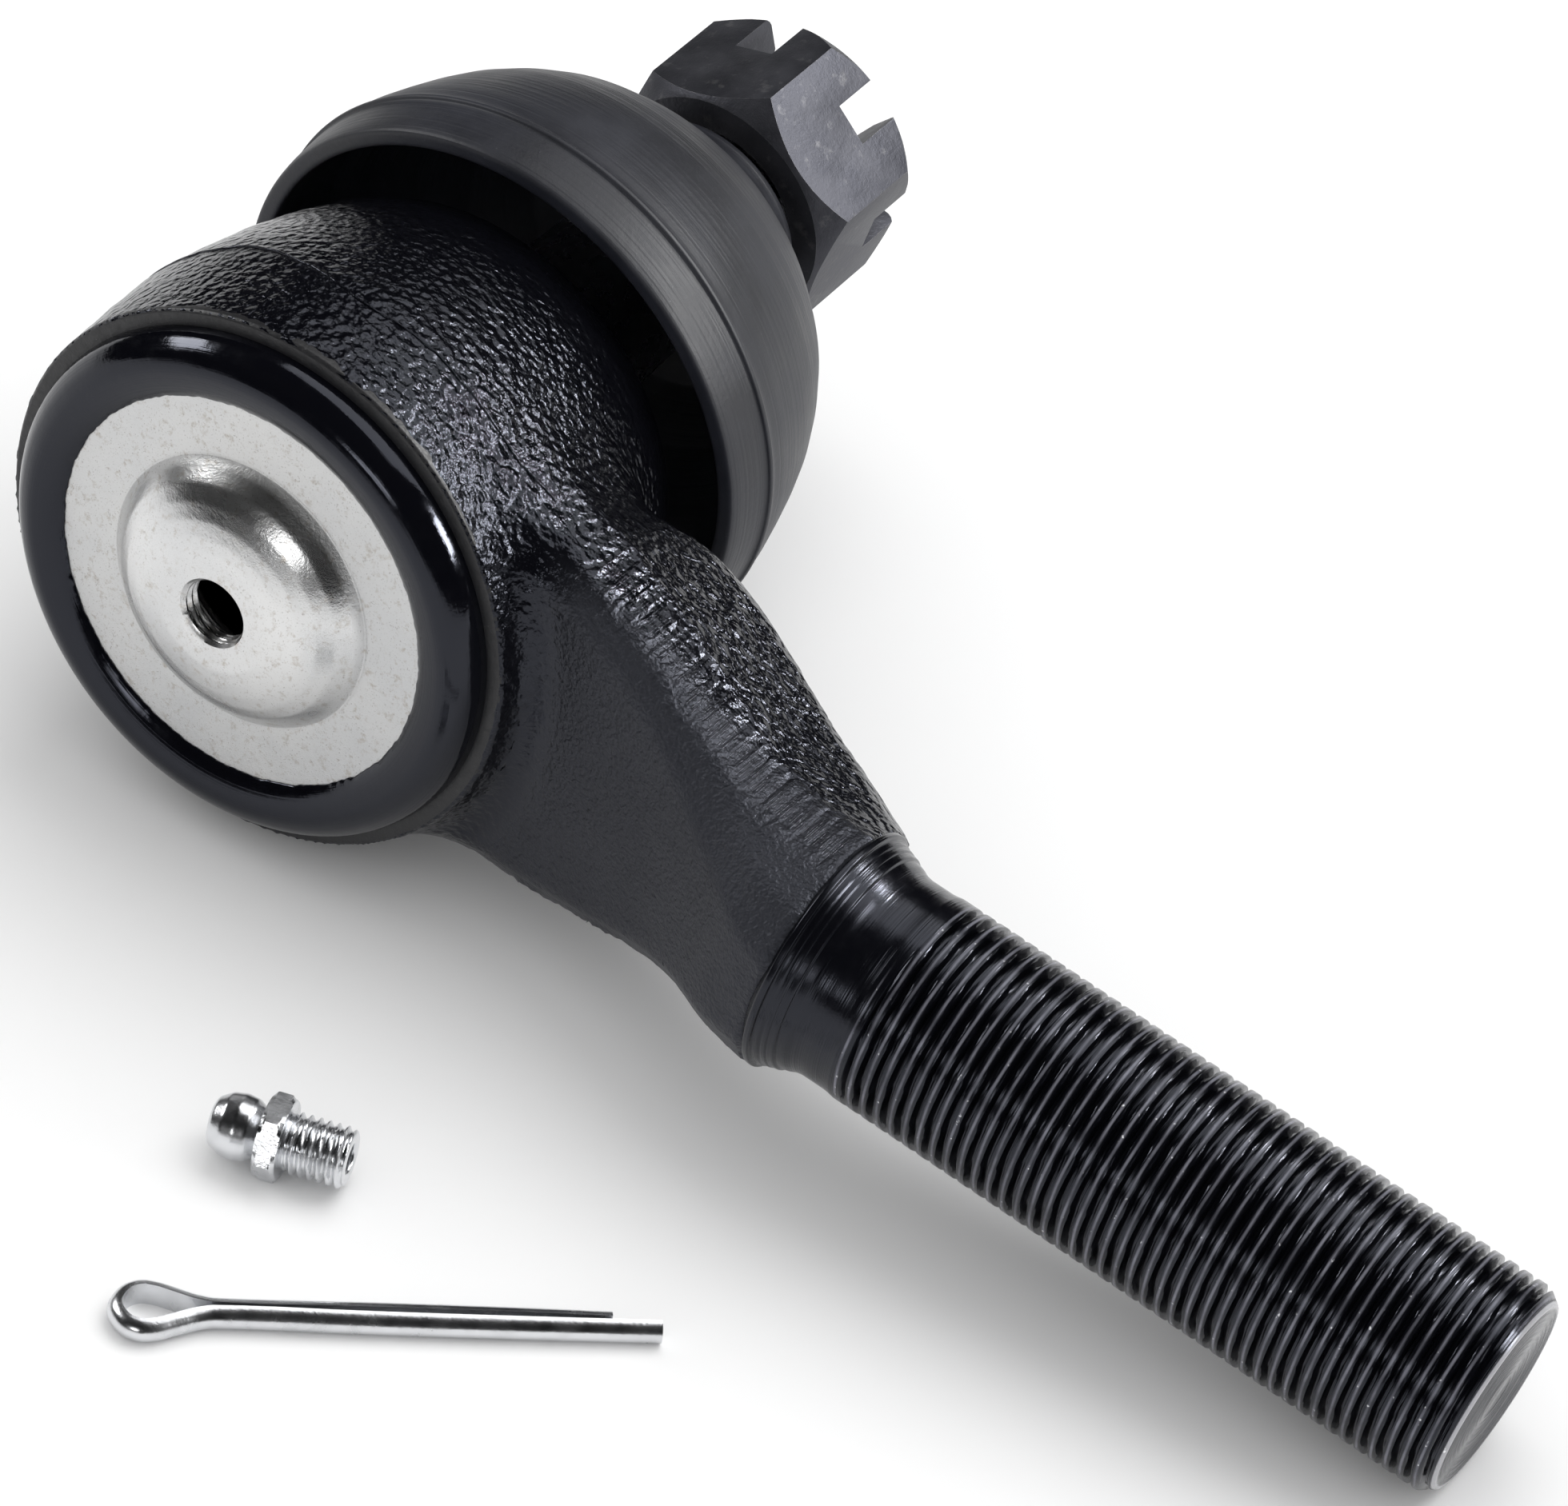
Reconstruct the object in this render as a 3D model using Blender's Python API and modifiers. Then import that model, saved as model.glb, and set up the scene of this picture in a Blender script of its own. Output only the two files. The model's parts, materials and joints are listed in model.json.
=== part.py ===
"""Greasable tie rod end: a forged housing with a threaded shank, a ball stud held between bearing
seats, a rubber dust boot, a castle nut, and the grease fitting and cotter pin that lie loose beside it.

The joint is modelled about the centre of its ball: +Z of that working frame is the axis of the
housing's bore, from the cover plate to the stud, and +X runs along the shank. The whole assembly is
then laid down the way it rests by itself, on the boss, the boot and the end of the shank.
"""

import math

import bmesh
import bpy
from mathutils import Euler, Matrix, Vector

MM = 0.001

# Housing boss, heights measured from the ball centre
COVER_FACE = -20.0 * MM
STEP_FACE = -17.7 * MM
PARTING_HEIGHT = -6.5 * MM
BOSS_TOP = 19.5 * MM
BOSS_RADIUS = 29.6 * MM
STEP_RADIUS = 28.7 * MM
LIP_INNER_RADIUS = 20.9 * MM
LIP_OUTER_RADIUS = 27.2 * MM
LIP_RISE = 1.7 * MM
BORE_RADIUS = 20.2 * MM
MOUTH_RADIUS = 14.4 * MM
BORE_SHOULDER = 13.0 * MM

# Arm and threaded shank
TRIM_HALF_HEIGHT = 3.2 * MM
ARM_CROWNING = 0.3 * MM
SHANK_DROP = 16.2 * MM
ARM_END = 67.5 * MM
THREAD_START = 75.6 * MM
SHANK_END = 143.0 * MM
SHANK_RADIUS = 11.11 * MM
SHANK_ROOT_RADIUS = 10.25 * MM
SHANK_PITCH = 1.5875 * MM
SHANK_CHAMFER = 1.6 * MM
SHANK_TIP_RADIUS = 10.0 * MM
COLLAR_RADIUS = 12.9 * MM
RELIEF_RADIUS = 10.7 * MM

# Cover plate
PLATE_RADIUS = 22.9 * MM
PLATE_THICKNESS = 2.6 * MM
DOME_RADIUS = 14.6 * MM
DOME_RISE = 4.5 * MM
FITTING_HOLE_RADIUS = 3.3 * MM

# Ball, seats and stud, heights measured from the ball centre
BALL_RADIUS = 17.5 * MM
HEAD_RADIUS = 10.0 * MM
FLANGE_RADIUS = 13.0 * MM
FLANGE_DEPTH = 2.5 * MM
PRESSURE_SEAT_BASE = -13.2 * MM
GAP = 0.3 * MM
LEAN_ANGLE = math.radians(6.3)
LEAN_AXIS_TURN = math.radians(8.0)
STUD_SEAT_RADIUS = 9.6 * MM
STUD_NECK_RADIUS = 8.2 * MM
STUD_TAPER_BASE = 28.0 * MM
STUD_TAPER_BASE_RADIUS = 9.3 * MM
STUD_TAPER_TOP = 56.5 * MM
STUD_TAPER_RADIUS = 8.3 * MM
STUD_END = 74.2 * MM
STUD_THREAD_RADIUS = 7.94 * MM
STUD_THREAD_ROOT = 7.15 * MM
STUD_PITCH = 1.411 * MM

# Preload spring
SPRING_WIRE_RADIUS = 0.95 * MM
SPRING_TURNS = 3
SPRING_SMALL_RADIUS = 7.0 * MM
SPRING_LARGE_RADIUS = 11.5 * MM

# Dust boot, heights measured from the ball centre along the stud
BOOT_RIM_Z = 20.4 * MM
BOOT_PARTING_Z = 26.1 * MM
BOOT_NECK_Z = 58.2 * MM
BOOT_RIM_RADIUS = 30.1 * MM
BOOT_RADIUS = 30.9 * MM
BOOT_NECK_RADIUS = 11.6 * MM

# Castle nut
NUT_BASE_Z = 60.0 * MM
NUT_HEIGHT = 16.2 * MM
NUT_ACROSS_FLATS = 26.0 * MM
NUT_TURN = math.radians(36.8)
NUT_BORE_RADIUS = 8.25 * MM
NUT_SLOT_WIDTH = 4.6 * MM
NUT_SLOT_DEPTH = 6.2 * MM
CONE_SIDES = 36
NUT_BORE_SIDES = 32

# Grease fitting and its check valve
FITTING_LENGTH = 13.7 * MM
FITTING_HEAD_RADIUS = 3.25 * MM
FITTING_NECK_RADIUS = 2.35 * MM
FITTING_ACROSS_FLATS = 7.6 * MM
FITTING_HEX_START = 6.3 * MM
FITTING_HEX_END = 8.6 * MM
FITTING_THREAD_RADIUS = 3.0 * MM
FITTING_THREAD_ROOT = 2.55 * MM
FITTING_PITCH = 0.907 * MM
FITTING_PASSAGE = 1.45 * MM
CHECK_BALL_RADIUS = 1.1 * MM
CHECK_BALL_DEPTH = 2.3 * MM
CHECK_BALL_TRAVEL = 1.15 * MM

# Cotter pin
PIN_LENGTH = 51.0 * MM
PIN_SHORT_LEG = 4.6 * MM
PIN_WIRE_RADIUS = 1.3 * MM
PIN_EYE_RADIUS = 2.2 * MM
PIN_EYE_REACH = 8.4 * MM
PIN_LEG_OFFSET = 0.16 * MM
PIN_LEG_BOW = 0.15 * MM
PIN_LEG_STEPS = 6

# How the assembly lies: shank nose-down, and rolled a little towards the boot
NOSE_DOWN = math.radians(7.6)
ROLL = math.radians(2.55)
FITTING_PLACE = Vector((0.0398, -0.0527))
PIN_PLACE = Vector((0.0330, -0.0810))
FITTING_HEADING = math.radians(17.4)
PIN_HEADING = math.radians(37.5)

ROUND_SIDES = 40
INNER_SIDES = 28
THREAD_SIDES = 20
STUD_SIDES = 16
FITTING_SIDES = 14
FITTING_BODY_SIDES = 18
CROSS_HOLE_SIDES = 12


def clear_scene():
    """Remove every object, so that the script always starts from an empty scene."""
    for obj in list(bpy.data.objects):
        bpy.data.objects.remove(obj, do_unlink=True)


def make_collection(name):
    group = bpy.data.collections.new(name)
    bpy.context.scene.collection.children.link(group)
    return group


def make_material(name, colour, roughness, metallic):
    mat = bpy.data.materials.new(name)
    mat.use_nodes = True
    shader = mat.node_tree.nodes["Principled BSDF"]
    shader.inputs["Base Color"].default_value = (*colour, 1.0)
    shader.inputs["Roughness"].default_value = roughness
    shader.inputs["Metallic"].default_value = metallic
    mat.diffuse_color = (*colour, 1.0)
    return mat


def add_mesh_object(name, mesh, group):
    obj = bpy.data.objects.new(name, mesh)
    group.objects.link(obj)
    return obj


def mark_cutter(obj):
    obj.hide_render = True
    obj.display_type = "WIRE"
    return obj


def mesh_from_bmesh(name, bm):
    mesh = bpy.data.meshes.new(name)
    bm.to_mesh(mesh)
    bm.free()
    return mesh


def turned(name, profile, group, sides=ROUND_SIDES, closed=False):
    """Turn a profile of (radius, height) points about Z. It runs down the outer side, top to bottom."""
    bm = bmesh.new()
    verts = [bm.verts.new((radius, 0.0, height)) for radius, height in profile]
    pairs = list(zip(verts, verts[1:]))
    if closed:
        pairs.append((verts[-1], verts[0]))
    for first, second in pairs:
        bm.edges.new((first, second))
    obj = add_mesh_object(name, mesh_from_bmesh(name, bm), group)
    screw = obj.modifiers.new("turn", "SCREW")
    screw.axis = "Z"
    screw.steps = sides
    screw.render_steps = sides
    screw.use_merge_vertices = True
    screw.merge_threshold = 0.00001
    screw.use_smooth_shade = True
    return obj


def boolean(obj, tool, operation):
    modifier = obj.modifiers.new(f"{operation.lower()}_{tool.name}", "BOOLEAN")
    modifier.operation = operation
    modifier.solver = "EXACT"
    modifier.object = tool


def helical_solid(name, crest, root, pitch, start, end, sides, group):
    """A rod along Z whose wall is a helical thread, a few turns longer than start to end."""
    half = pitch / 2
    rows = math.ceil((end - start) / half) + 6
    bm = bmesh.new()
    grid = []
    for row in range(rows):
        radius = crest if row % 2 == 0 else root
        ring = []
        for side in range(sides):
            angle = math.tau * side / sides
            height = start + (row - 3) * half + pitch * side / sides
            ring.append(bm.verts.new((radius * math.cos(angle), radius * math.sin(angle), height)))
        grid.append(ring)
    for row in range(rows - 1):
        for side in range(sides - 1):
            low, high = grid[row], grid[row + 1]
            bm.faces.new((low[side], low[side + 1], high[side + 1], high[side]))
    for row in range(rows - 3):
        bm.faces.new((grid[row][-1], grid[row + 2][0], grid[row + 3][0], grid[row + 1][-1]))
    bottom = grid[0] + [grid[2][0], grid[1][0]]
    top = grid[-1] + [grid[-2][-1], grid[-3][-1]]
    for loop, height in ((bottom, start - 4 * half), (top, end + 5 * half)):
        tip = bm.verts.new((0.0, 0.0, height))
        for first, second in zip(loop, loop[1:] + loop[:1]):
            bm.faces.new((first, second, tip))
    bmesh.ops.recalc_face_normals(bm, faces=bm.faces)
    return add_mesh_object(name, mesh_from_bmesh(name, bm), group)


def arc(centre_r, centre_z, radius, start, end, count):
    """Points of a circular arc, as (radius, height) pairs, from one angle in degrees to another."""
    points = []
    for step in range(count + 1):
        angle = math.radians(start + (end - start) * step / count)
        points.append((centre_r + radius * math.cos(angle), centre_z + radius * math.sin(angle)))
    return points


def boss_profile():
    """Outline of the boss: barrel-shaped from the forging draft, with the rolled lip at its lower end."""
    lip_middle = (LIP_INNER_RADIUS + LIP_OUTER_RADIUS) / 2
    lip_half = (LIP_OUTER_RADIUS - LIP_INNER_RADIUS) / 2
    lip = []
    for step in range(7):
        angle = math.pi * step / 6
        radius = lip_middle + lip_half * math.cos(angle)
        lip.append((radius, COVER_FACE - GAP + 0.9 * MM - (LIP_RISE + 0.9 * MM) * math.sin(angle)))
    return [
        (0.0, BOSS_TOP),
        (19.5 * MM, BOSS_TOP),
        (22.6 * MM, BOSS_TOP - 0.7 * MM),
        (24.8 * MM, BOSS_TOP - 2.4 * MM),
        (26.2 * MM, BOSS_TOP - 5.6 * MM),
        (27.5 * MM, 9.0 * MM),
        (28.5 * MM, 4.0 * MM),
        (29.3 * MM, -2.0 * MM),
        (BOSS_RADIUS, PARTING_HEIGHT),
        (29.3 * MM, -11.0 * MM),
        (STEP_RADIUS, STEP_FACE),
        (LIP_OUTER_RADIUS, STEP_FACE),
        *lip,
        (0.0, COVER_FACE - GAP + 0.9 * MM),
    ]


def bore_profile():
    """Outline of everything cut out of the boss, from the stud's mouth down to the cover recess."""
    recess_radius = PLATE_RADIUS + GAP
    recess_floor = COVER_FACE + PLATE_THICKNESS + GAP
    return [
        (0.0, BOSS_TOP + 5 * MM),
        (MOUTH_RADIUS + 3 * MM, BOSS_TOP + 5 * MM),
        (MOUTH_RADIUS + 3 * MM, BOSS_TOP - 1.0 * MM),
        (MOUTH_RADIUS, BORE_SHOULDER + 1.5 * MM),
        (MOUTH_RADIUS, BORE_SHOULDER),
        (BORE_RADIUS, BORE_SHOULDER),
        (BORE_RADIUS, recess_floor),
        (recess_radius, recess_floor),
        (recess_radius, COVER_FACE - GAP),
        (LIP_INNER_RADIUS, COVER_FACE - GAP),
        (LIP_INNER_RADIUS, COVER_FACE - 8 * MM),
        (0.0, COVER_FACE - 8 * MM),
    ]


def arm_section(half_width, bottom, middle, top, crown, corner, lower_corner):
    """Half of the arm's outline in Y and Z: flat underside, upright trimmed edge, drafted upper side."""
    trim_top = middle + TRIM_HALF_HEIGHT
    draft = (half_width - crown) / (top - trim_top)
    return [
        (0.0, bottom),
        (half_width - lower_corner, bottom),
        (half_width - lower_corner * 0.25, bottom + lower_corner * 0.5),
        (half_width, max(middle - TRIM_HALF_HEIGHT, bottom + lower_corner)),
        (half_width, trim_top),
        (crown + draft * corner, top - corner),
        (crown - corner * 0.25, top - corner * 0.25),
        (crown - corner, top),
        (0.0, top + ARM_CROWNING),
    ]


def build_arm(group):
    """Loft the arm from inside the boss down to the round collar at the head of the shank.

    Each station is x, then half width, underside, middle of the trimmed edge, top, half width of the
    top, and the sizes of the upper and lower corners, all in millimetres with heights from the cover
    plate's face.
    """
    stations = (
        (14.0, 22.0, 7.0, 12.6, 26.0, 17.6, 2.4, 2.4),
        (27.0, 20.3, 6.3, 11.9, 25.8, 16.2, 2.4, 2.4),
        (34.0, 18.8, 5.1, 10.3, 26.0, 15.6, 1.8, 2.4),
        (41.0, 16.9, 3.5, 8.7, 25.6, 14.3, 1.8, 2.6),
        (48.0, 14.3, 1.1, 6.9, 23.6, 12.3, 1.8, 3.0),
        (55.0, 12.3, -2.4, 5.2, 20.4, 10.6, 2.0, 4.0),
        (61.0, 11.8, -6.2, 4.1, 17.9, 9.6, 2.6, 5.0),
        (67.5, 12.0, -8.4, 3.8, 16.5, 8.0, 3.8, 6.2),
    )
    bm = bmesh.new()
    rings = []
    for x, *sizes in stations:
        half = arm_section(*(size * MM for size in sizes))
        outline = half + [(-y, z) for y, z in reversed(half[1:-1])]
        rings.append([bm.verts.new((x * MM, y, z + COVER_FACE)) for y, z in outline])
    count = len(rings[0])
    for near, far in zip(rings, rings[1:]):
        for index in range(count):
            following = (index + 1) % count
            bm.faces.new((near[index], near[following], far[following], far[index]))
    bm.faces.new(rings[0])
    bm.faces.new(rings[-1])
    bmesh.ops.recalc_face_normals(bm, faces=bm.faces)
    return add_mesh_object("housing", mesh_from_bmesh("housing", bm), group)


def lay_along_shank(obj):
    """Turn a piece made about Z so that it runs along the shank's axis, towards the shank's end."""
    obj.matrix_world = Matrix.Translation((0.0, 0.0, -SHANK_DROP)) @ Matrix.Rotation(math.pi / 2, 4, "Y")


def build_housing(group, tools):
    housing = build_arm(group)
    boss = mark_cutter(turned("boss_body", boss_profile(), tools))
    bore = mark_cutter(turned("boss_bore", bore_profile(), tools))
    collar_profile = [
        (0.0, THREAD_START + 0.43 * MM),
        (RELIEF_RADIUS, THREAD_START + 0.43 * MM),
        (RELIEF_RADIUS, ARM_END + 4.0 * MM),
        (RELIEF_RADIUS + 0.9 * MM, ARM_END + 2.4 * MM),
        (COLLAR_RADIUS, ARM_END + 0.2 * MM),
        (COLLAR_RADIUS, ARM_END - 1.6 * MM),
        (RELIEF_RADIUS - 2.0 * MM, ARM_END - 6.0 * MM),
        (0.0, ARM_END - 6.0 * MM),
    ]
    collar = mark_cutter(turned("shank_collar", collar_profile, tools))
    lay_along_shank(collar)
    envelope_radius = SHANK_RADIUS + 0.05 * MM
    envelope_profile = [
        (0.0, SHANK_END),
        (SHANK_TIP_RADIUS, SHANK_END),
        (envelope_radius, SHANK_END - SHANK_CHAMFER),
        (envelope_radius, THREAD_START),
        (0.0, THREAD_START),
    ]
    envelope = mark_cutter(turned("thread_envelope", envelope_profile, tools, THREAD_SIDES))
    lay_along_shank(envelope)
    thread = mark_cutter(helical_solid(
        "shank_thread", SHANK_RADIUS, SHANK_ROOT_RADIUS, SHANK_PITCH,
        THREAD_START, SHANK_END, THREAD_SIDES, tools,
    ))
    lay_along_shank(thread)
    boolean(thread, envelope, "INTERSECT")
    boolean(housing, boss, "UNION")
    boolean(housing, collar, "UNION")
    boolean(housing, thread, "UNION")
    boolean(housing, bore, "DIFFERENCE")
    return housing


def build_cover(group, tools):
    """Stamped plate with a raised crown, tapped in the middle for the grease fitting."""
    outer, inner = COVER_FACE, COVER_FACE + PLATE_THICKNESS
    crown_outer = outer - DOME_RISE
    crown_inner = crown_outer + PLATE_THICKNESS
    profile = [
        (FITTING_HOLE_RADIUS, crown_inner),
        (8.2 * MM, crown_inner),
        (10.8 * MM, crown_inner + 1.5 * MM),
        (12.6 * MM, inner),
        (PLATE_RADIUS, inner),
        (PLATE_RADIUS, outer),
        (DOME_RADIUS, outer),
        (14.1 * MM, outer - 0.6 * MM),
        (12.4 * MM, outer - 2.2 * MM),
        (10.0 * MM, outer - 3.7 * MM),
        (7.6 * MM, crown_outer),
        (FITTING_HOLE_RADIUS + 0.35 * MM, crown_outer),
        (FITTING_HOLE_RADIUS, crown_outer + 0.35 * MM),
    ]
    return turned("cover_plate", profile, group, closed=True)


def build_seats(group):
    """The two rings that hold the ball: a dished seat under it and a spherical seat above it."""
    dish = arc(0.0, 0.0, HEAD_RADIUS + GAP, -90, -49, 4)
    rim_z = dish[-1][1]
    outer = BORE_RADIUS - GAP
    pressure_seat = turned("pressure_seat", [
        *dish,
        (outer - 1.0 * MM, rim_z),
        (outer, rim_z - 1.0 * MM),
        (outer, PRESSURE_SEAT_BASE),
        (0.0, PRESSURE_SEAT_BASE),
    ], group, INNER_SIDES)
    sphere = arc(0.0, 0.0, BALL_RADIUS + GAP, 2, 38, 5)
    upper = [
        (outer, BORE_SHOULDER - GAP),
        (outer, sphere[0][1]),
        *sphere,
        (sphere[-1][0], BORE_SHOULDER - GAP),
    ]
    upper_seat = turned("upper_seat", upper, group, INNER_SIDES, closed=True)
    return pressure_seat, upper_seat


def build_spring(group):
    """Conical coil between the cover's crown and the pressure seat."""
    low = COVER_FACE - DOME_RISE + PLATE_THICKNESS + SPRING_WIRE_RADIUS + GAP
    high = PRESSURE_SEAT_BASE - SPRING_WIRE_RADIUS - GAP
    steps = 12 * SPRING_TURNS
    curve = bpy.data.curves.new("preload_spring", "CURVE")
    curve.dimensions = "3D"
    curve.bevel_depth = SPRING_WIRE_RADIUS
    curve.bevel_resolution = 2
    curve.use_fill_caps = True
    spline = curve.splines.new("POLY")
    spline.points.add(steps)
    for index in range(steps + 1):
        share = index / steps
        radius = SPRING_SMALL_RADIUS + (SPRING_LARGE_RADIUS - SPRING_SMALL_RADIUS) * share
        angle = math.tau * SPRING_TURNS * share
        place = (radius * math.cos(angle), radius * math.sin(angle), low + (high - low) * share)
        spline.points[index].co = (*place, 1.0)
    obj = bpy.data.objects.new("preload_spring", curve)
    group.objects.link(obj)
    return obj


def stud_radius_at(height):
    """Radius of the stud's taper at a height above the ball centre."""
    share = (height - STUD_TAPER_BASE) / (STUD_TAPER_TOP - STUD_TAPER_BASE)
    return STUD_TAPER_BASE_RADIUS + (STUD_TAPER_RADIUS - STUD_TAPER_BASE_RADIUS) * share


def build_half_ball(group):
    """Hemispherical bearing round the stud's neck, which swings with the stud in the upper seat."""
    sphere = arc(0.0, 0.0, BALL_RADIUS, 45, 1, 6)
    top, bottom = sphere[0][1], sphere[-1][1]
    profile = [
        (STUD_SEAT_RADIUS + GAP, top),
        *sphere,
        (STUD_SEAT_RADIUS + GAP, bottom),
    ]
    return turned("half_ball_bearing", profile, group, INNER_SIDES, closed=True)


def build_stud(group, tools):
    """Stud with a spherical foot and flange, a tapered seat and a threaded end with a cross hole."""
    foot = arc(0.0, 0.0, HEAD_RADIUS, -14.5, -90, 5)
    profile = [
        (0.0, STUD_TAPER_TOP + 1.0 * MM),
        (STUD_THREAD_ROOT, STUD_TAPER_TOP + 1.0 * MM),
        (STUD_TAPER_RADIUS, STUD_TAPER_TOP),
        (STUD_TAPER_BASE_RADIUS, STUD_TAPER_BASE),
        (STUD_NECK_RADIUS, STUD_TAPER_BASE - 4.0 * MM),
        (STUD_NECK_RADIUS, 14.0 * MM),
        (STUD_SEAT_RADIUS, 11.0 * MM),
        (STUD_SEAT_RADIUS, 0.0),
        (FLANGE_RADIUS, 0.0),
        (FLANGE_RADIUS, -FLANGE_DEPTH),
        *foot[:-1],
        (0.0, -HEAD_RADIUS),
    ]
    stud = turned("ball_stud", profile, group, INNER_SIDES)
    end_profile = [
        (0.0, STUD_END),
        (STUD_THREAD_ROOT - 0.3 * MM, STUD_END),
        (STUD_THREAD_RADIUS + 0.05 * MM, STUD_END - 1.2 * MM),
        (STUD_THREAD_RADIUS + 0.05 * MM, STUD_TAPER_TOP + 0.5 * MM),
        (0.0, STUD_TAPER_TOP + 0.5 * MM),
    ]
    envelope = mark_cutter(turned("stud_thread_envelope", end_profile, tools, STUD_SIDES))
    thread = mark_cutter(helical_solid(
        "stud_thread", STUD_THREAD_RADIUS, STUD_THREAD_ROOT, STUD_PITCH,
        STUD_TAPER_TOP, STUD_END, STUD_SIDES, tools,
    ))
    boolean(thread, envelope, "INTERSECT")
    boolean(stud, thread, "UNION")
    hole = mark_cutter(turned("cotter_hole", [
        (0.0, 15 * MM), (1.7 * MM, 15 * MM), (1.7 * MM, -15 * MM), (0.0, -15 * MM),
    ], tools, CROSS_HOLE_SIDES))
    hole.matrix_world = (
        Matrix.Translation((0.0, 0.0, STUD_END - 4.2 * MM))
        @ Matrix.Rotation(NUT_TURN + math.pi / 6, 4, "Z")
        @ Matrix.Rotation(math.pi / 2, 4, "Y")
    )
    boolean(stud, hole, "DIFFERENCE")
    return stud, (thread, envelope, hole)


def build_boot(group):
    """Bell-shaped rubber cup: a thick rim, a straight band, a dome and a neck round the stud."""
    outer = [
        (BOOT_NECK_RADIUS - 1.2 * MM, BOOT_NECK_Z),
        (BOOT_NECK_RADIUS, BOOT_NECK_Z - 1.0 * MM),
        (12.4 * MM, 55.2 * MM),
        (14.9 * MM, 52.6 * MM),
        (18.6 * MM, 49.0 * MM),
        (22.9 * MM, 44.8 * MM),
        (25.8 * MM, 40.8 * MM),
        (27.8 * MM, 37.0 * MM),
        (29.2 * MM, 33.2 * MM),
        (30.3 * MM, 29.4 * MM),
        (BOOT_RADIUS, BOOT_PARTING_Z + 0.3 * MM),
        (BOOT_RADIUS, BOOT_PARTING_Z - 0.6 * MM),
        (BOOT_RIM_RADIUS, BOOT_RIM_Z),
        (BOOT_RIM_RADIUS - 1.9 * MM, BOOT_RIM_Z),
    ]
    inner = [
        (28.4 * MM, 26.4 * MM),
        (27.8 * MM, 30.6 * MM),
        (26.2 * MM, 35.0 * MM),
        (23.6 * MM, 40.0 * MM),
        (20.2 * MM, 44.8 * MM),
        (15.4 * MM, 49.2 * MM),
        (stud_radius_at(51.0 * MM) + GAP, 51.0 * MM),
        (stud_radius_at(STUD_TAPER_TOP) + GAP, STUD_TAPER_TOP),
        (stud_radius_at(STUD_TAPER_TOP) + GAP, BOOT_NECK_Z),
    ]
    return turned("dust_boot", outer + inner, group, closed=True)


def build_nut(group, tools):
    """Hexagon nut with chamfered corners and six cross slots in its outer end."""
    corner_radius = NUT_ACROSS_FLATS / math.sqrt(3)
    bm = bmesh.new()
    place = Matrix.Translation((0.0, 0.0, NUT_BASE_Z + NUT_HEIGHT / 2)) @ Matrix.Rotation(NUT_TURN, 4, "Z")
    bmesh.ops.create_cone(
        bm, cap_ends=True, segments=6, radius1=corner_radius, radius2=corner_radius,
        depth=NUT_HEIGHT, matrix=place,
    )
    nut = add_mesh_object("castle_nut", mesh_from_bmesh("castle_nut", bm), group)
    flat_radius = NUT_ACROSS_FLATS / 2
    top = NUT_BASE_Z + NUT_HEIGHT
    cone_profile = [
        (0.0, top + 0.1 * MM),
        (flat_radius - 1.0 * MM, top + 0.1 * MM),
        (flat_radius + 0.4 * MM, top - 1.2 * MM),
        (corner_radius + 0.3 * MM, top - 3.6 * MM),
        (corner_radius + 0.3 * MM, NUT_BASE_Z + 2.6 * MM),
        (flat_radius - 0.4 * MM, NUT_BASE_Z - 0.1 * MM),
        (0.0, NUT_BASE_Z - 0.1 * MM),
    ]
    cone = mark_cutter(turned("nut_chamfer", cone_profile, tools, CONE_SIDES))
    bore = mark_cutter(turned("nut_bore", [
        (0.0, top + 1 * MM),
        (NUT_BORE_RADIUS + 1.2 * MM, top + 0.2 * MM),
        (NUT_BORE_RADIUS, top - 1.0 * MM),
        (NUT_BORE_RADIUS, NUT_BASE_Z + 1.0 * MM),
        (NUT_BORE_RADIUS + 1.2 * MM, NUT_BASE_Z - 0.2 * MM),
        (0.0, NUT_BASE_Z - 1 * MM),
    ], tools, NUT_BORE_SIDES))
    boolean(nut, cone, "INTERSECT")
    boolean(nut, bore, "DIFFERENCE")
    helpers = [cone, bore]
    for index in range(3):
        slot_bm = bmesh.new()
        bmesh.ops.create_cube(slot_bm, size=1.0)
        slot = add_mesh_object(f"nut_slot_{index}", mesh_from_bmesh(f"nut_slot_{index}", slot_bm), tools)
        turn = NUT_TURN + math.pi / 6 + index * math.pi / 3
        slot.matrix_world = (
            Matrix.Translation((0.0, 0.0, top - NUT_SLOT_DEPTH + 5 * MM))
            @ Matrix.Rotation(turn, 4, "Z")
            @ Matrix.Diagonal((40 * MM, NUT_SLOT_WIDTH, 10 * MM, 1.0))
        )
        mark_cutter(slot)
        boolean(nut, slot, "DIFFERENCE")
        helpers.append(slot)
    return nut, helpers


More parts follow.
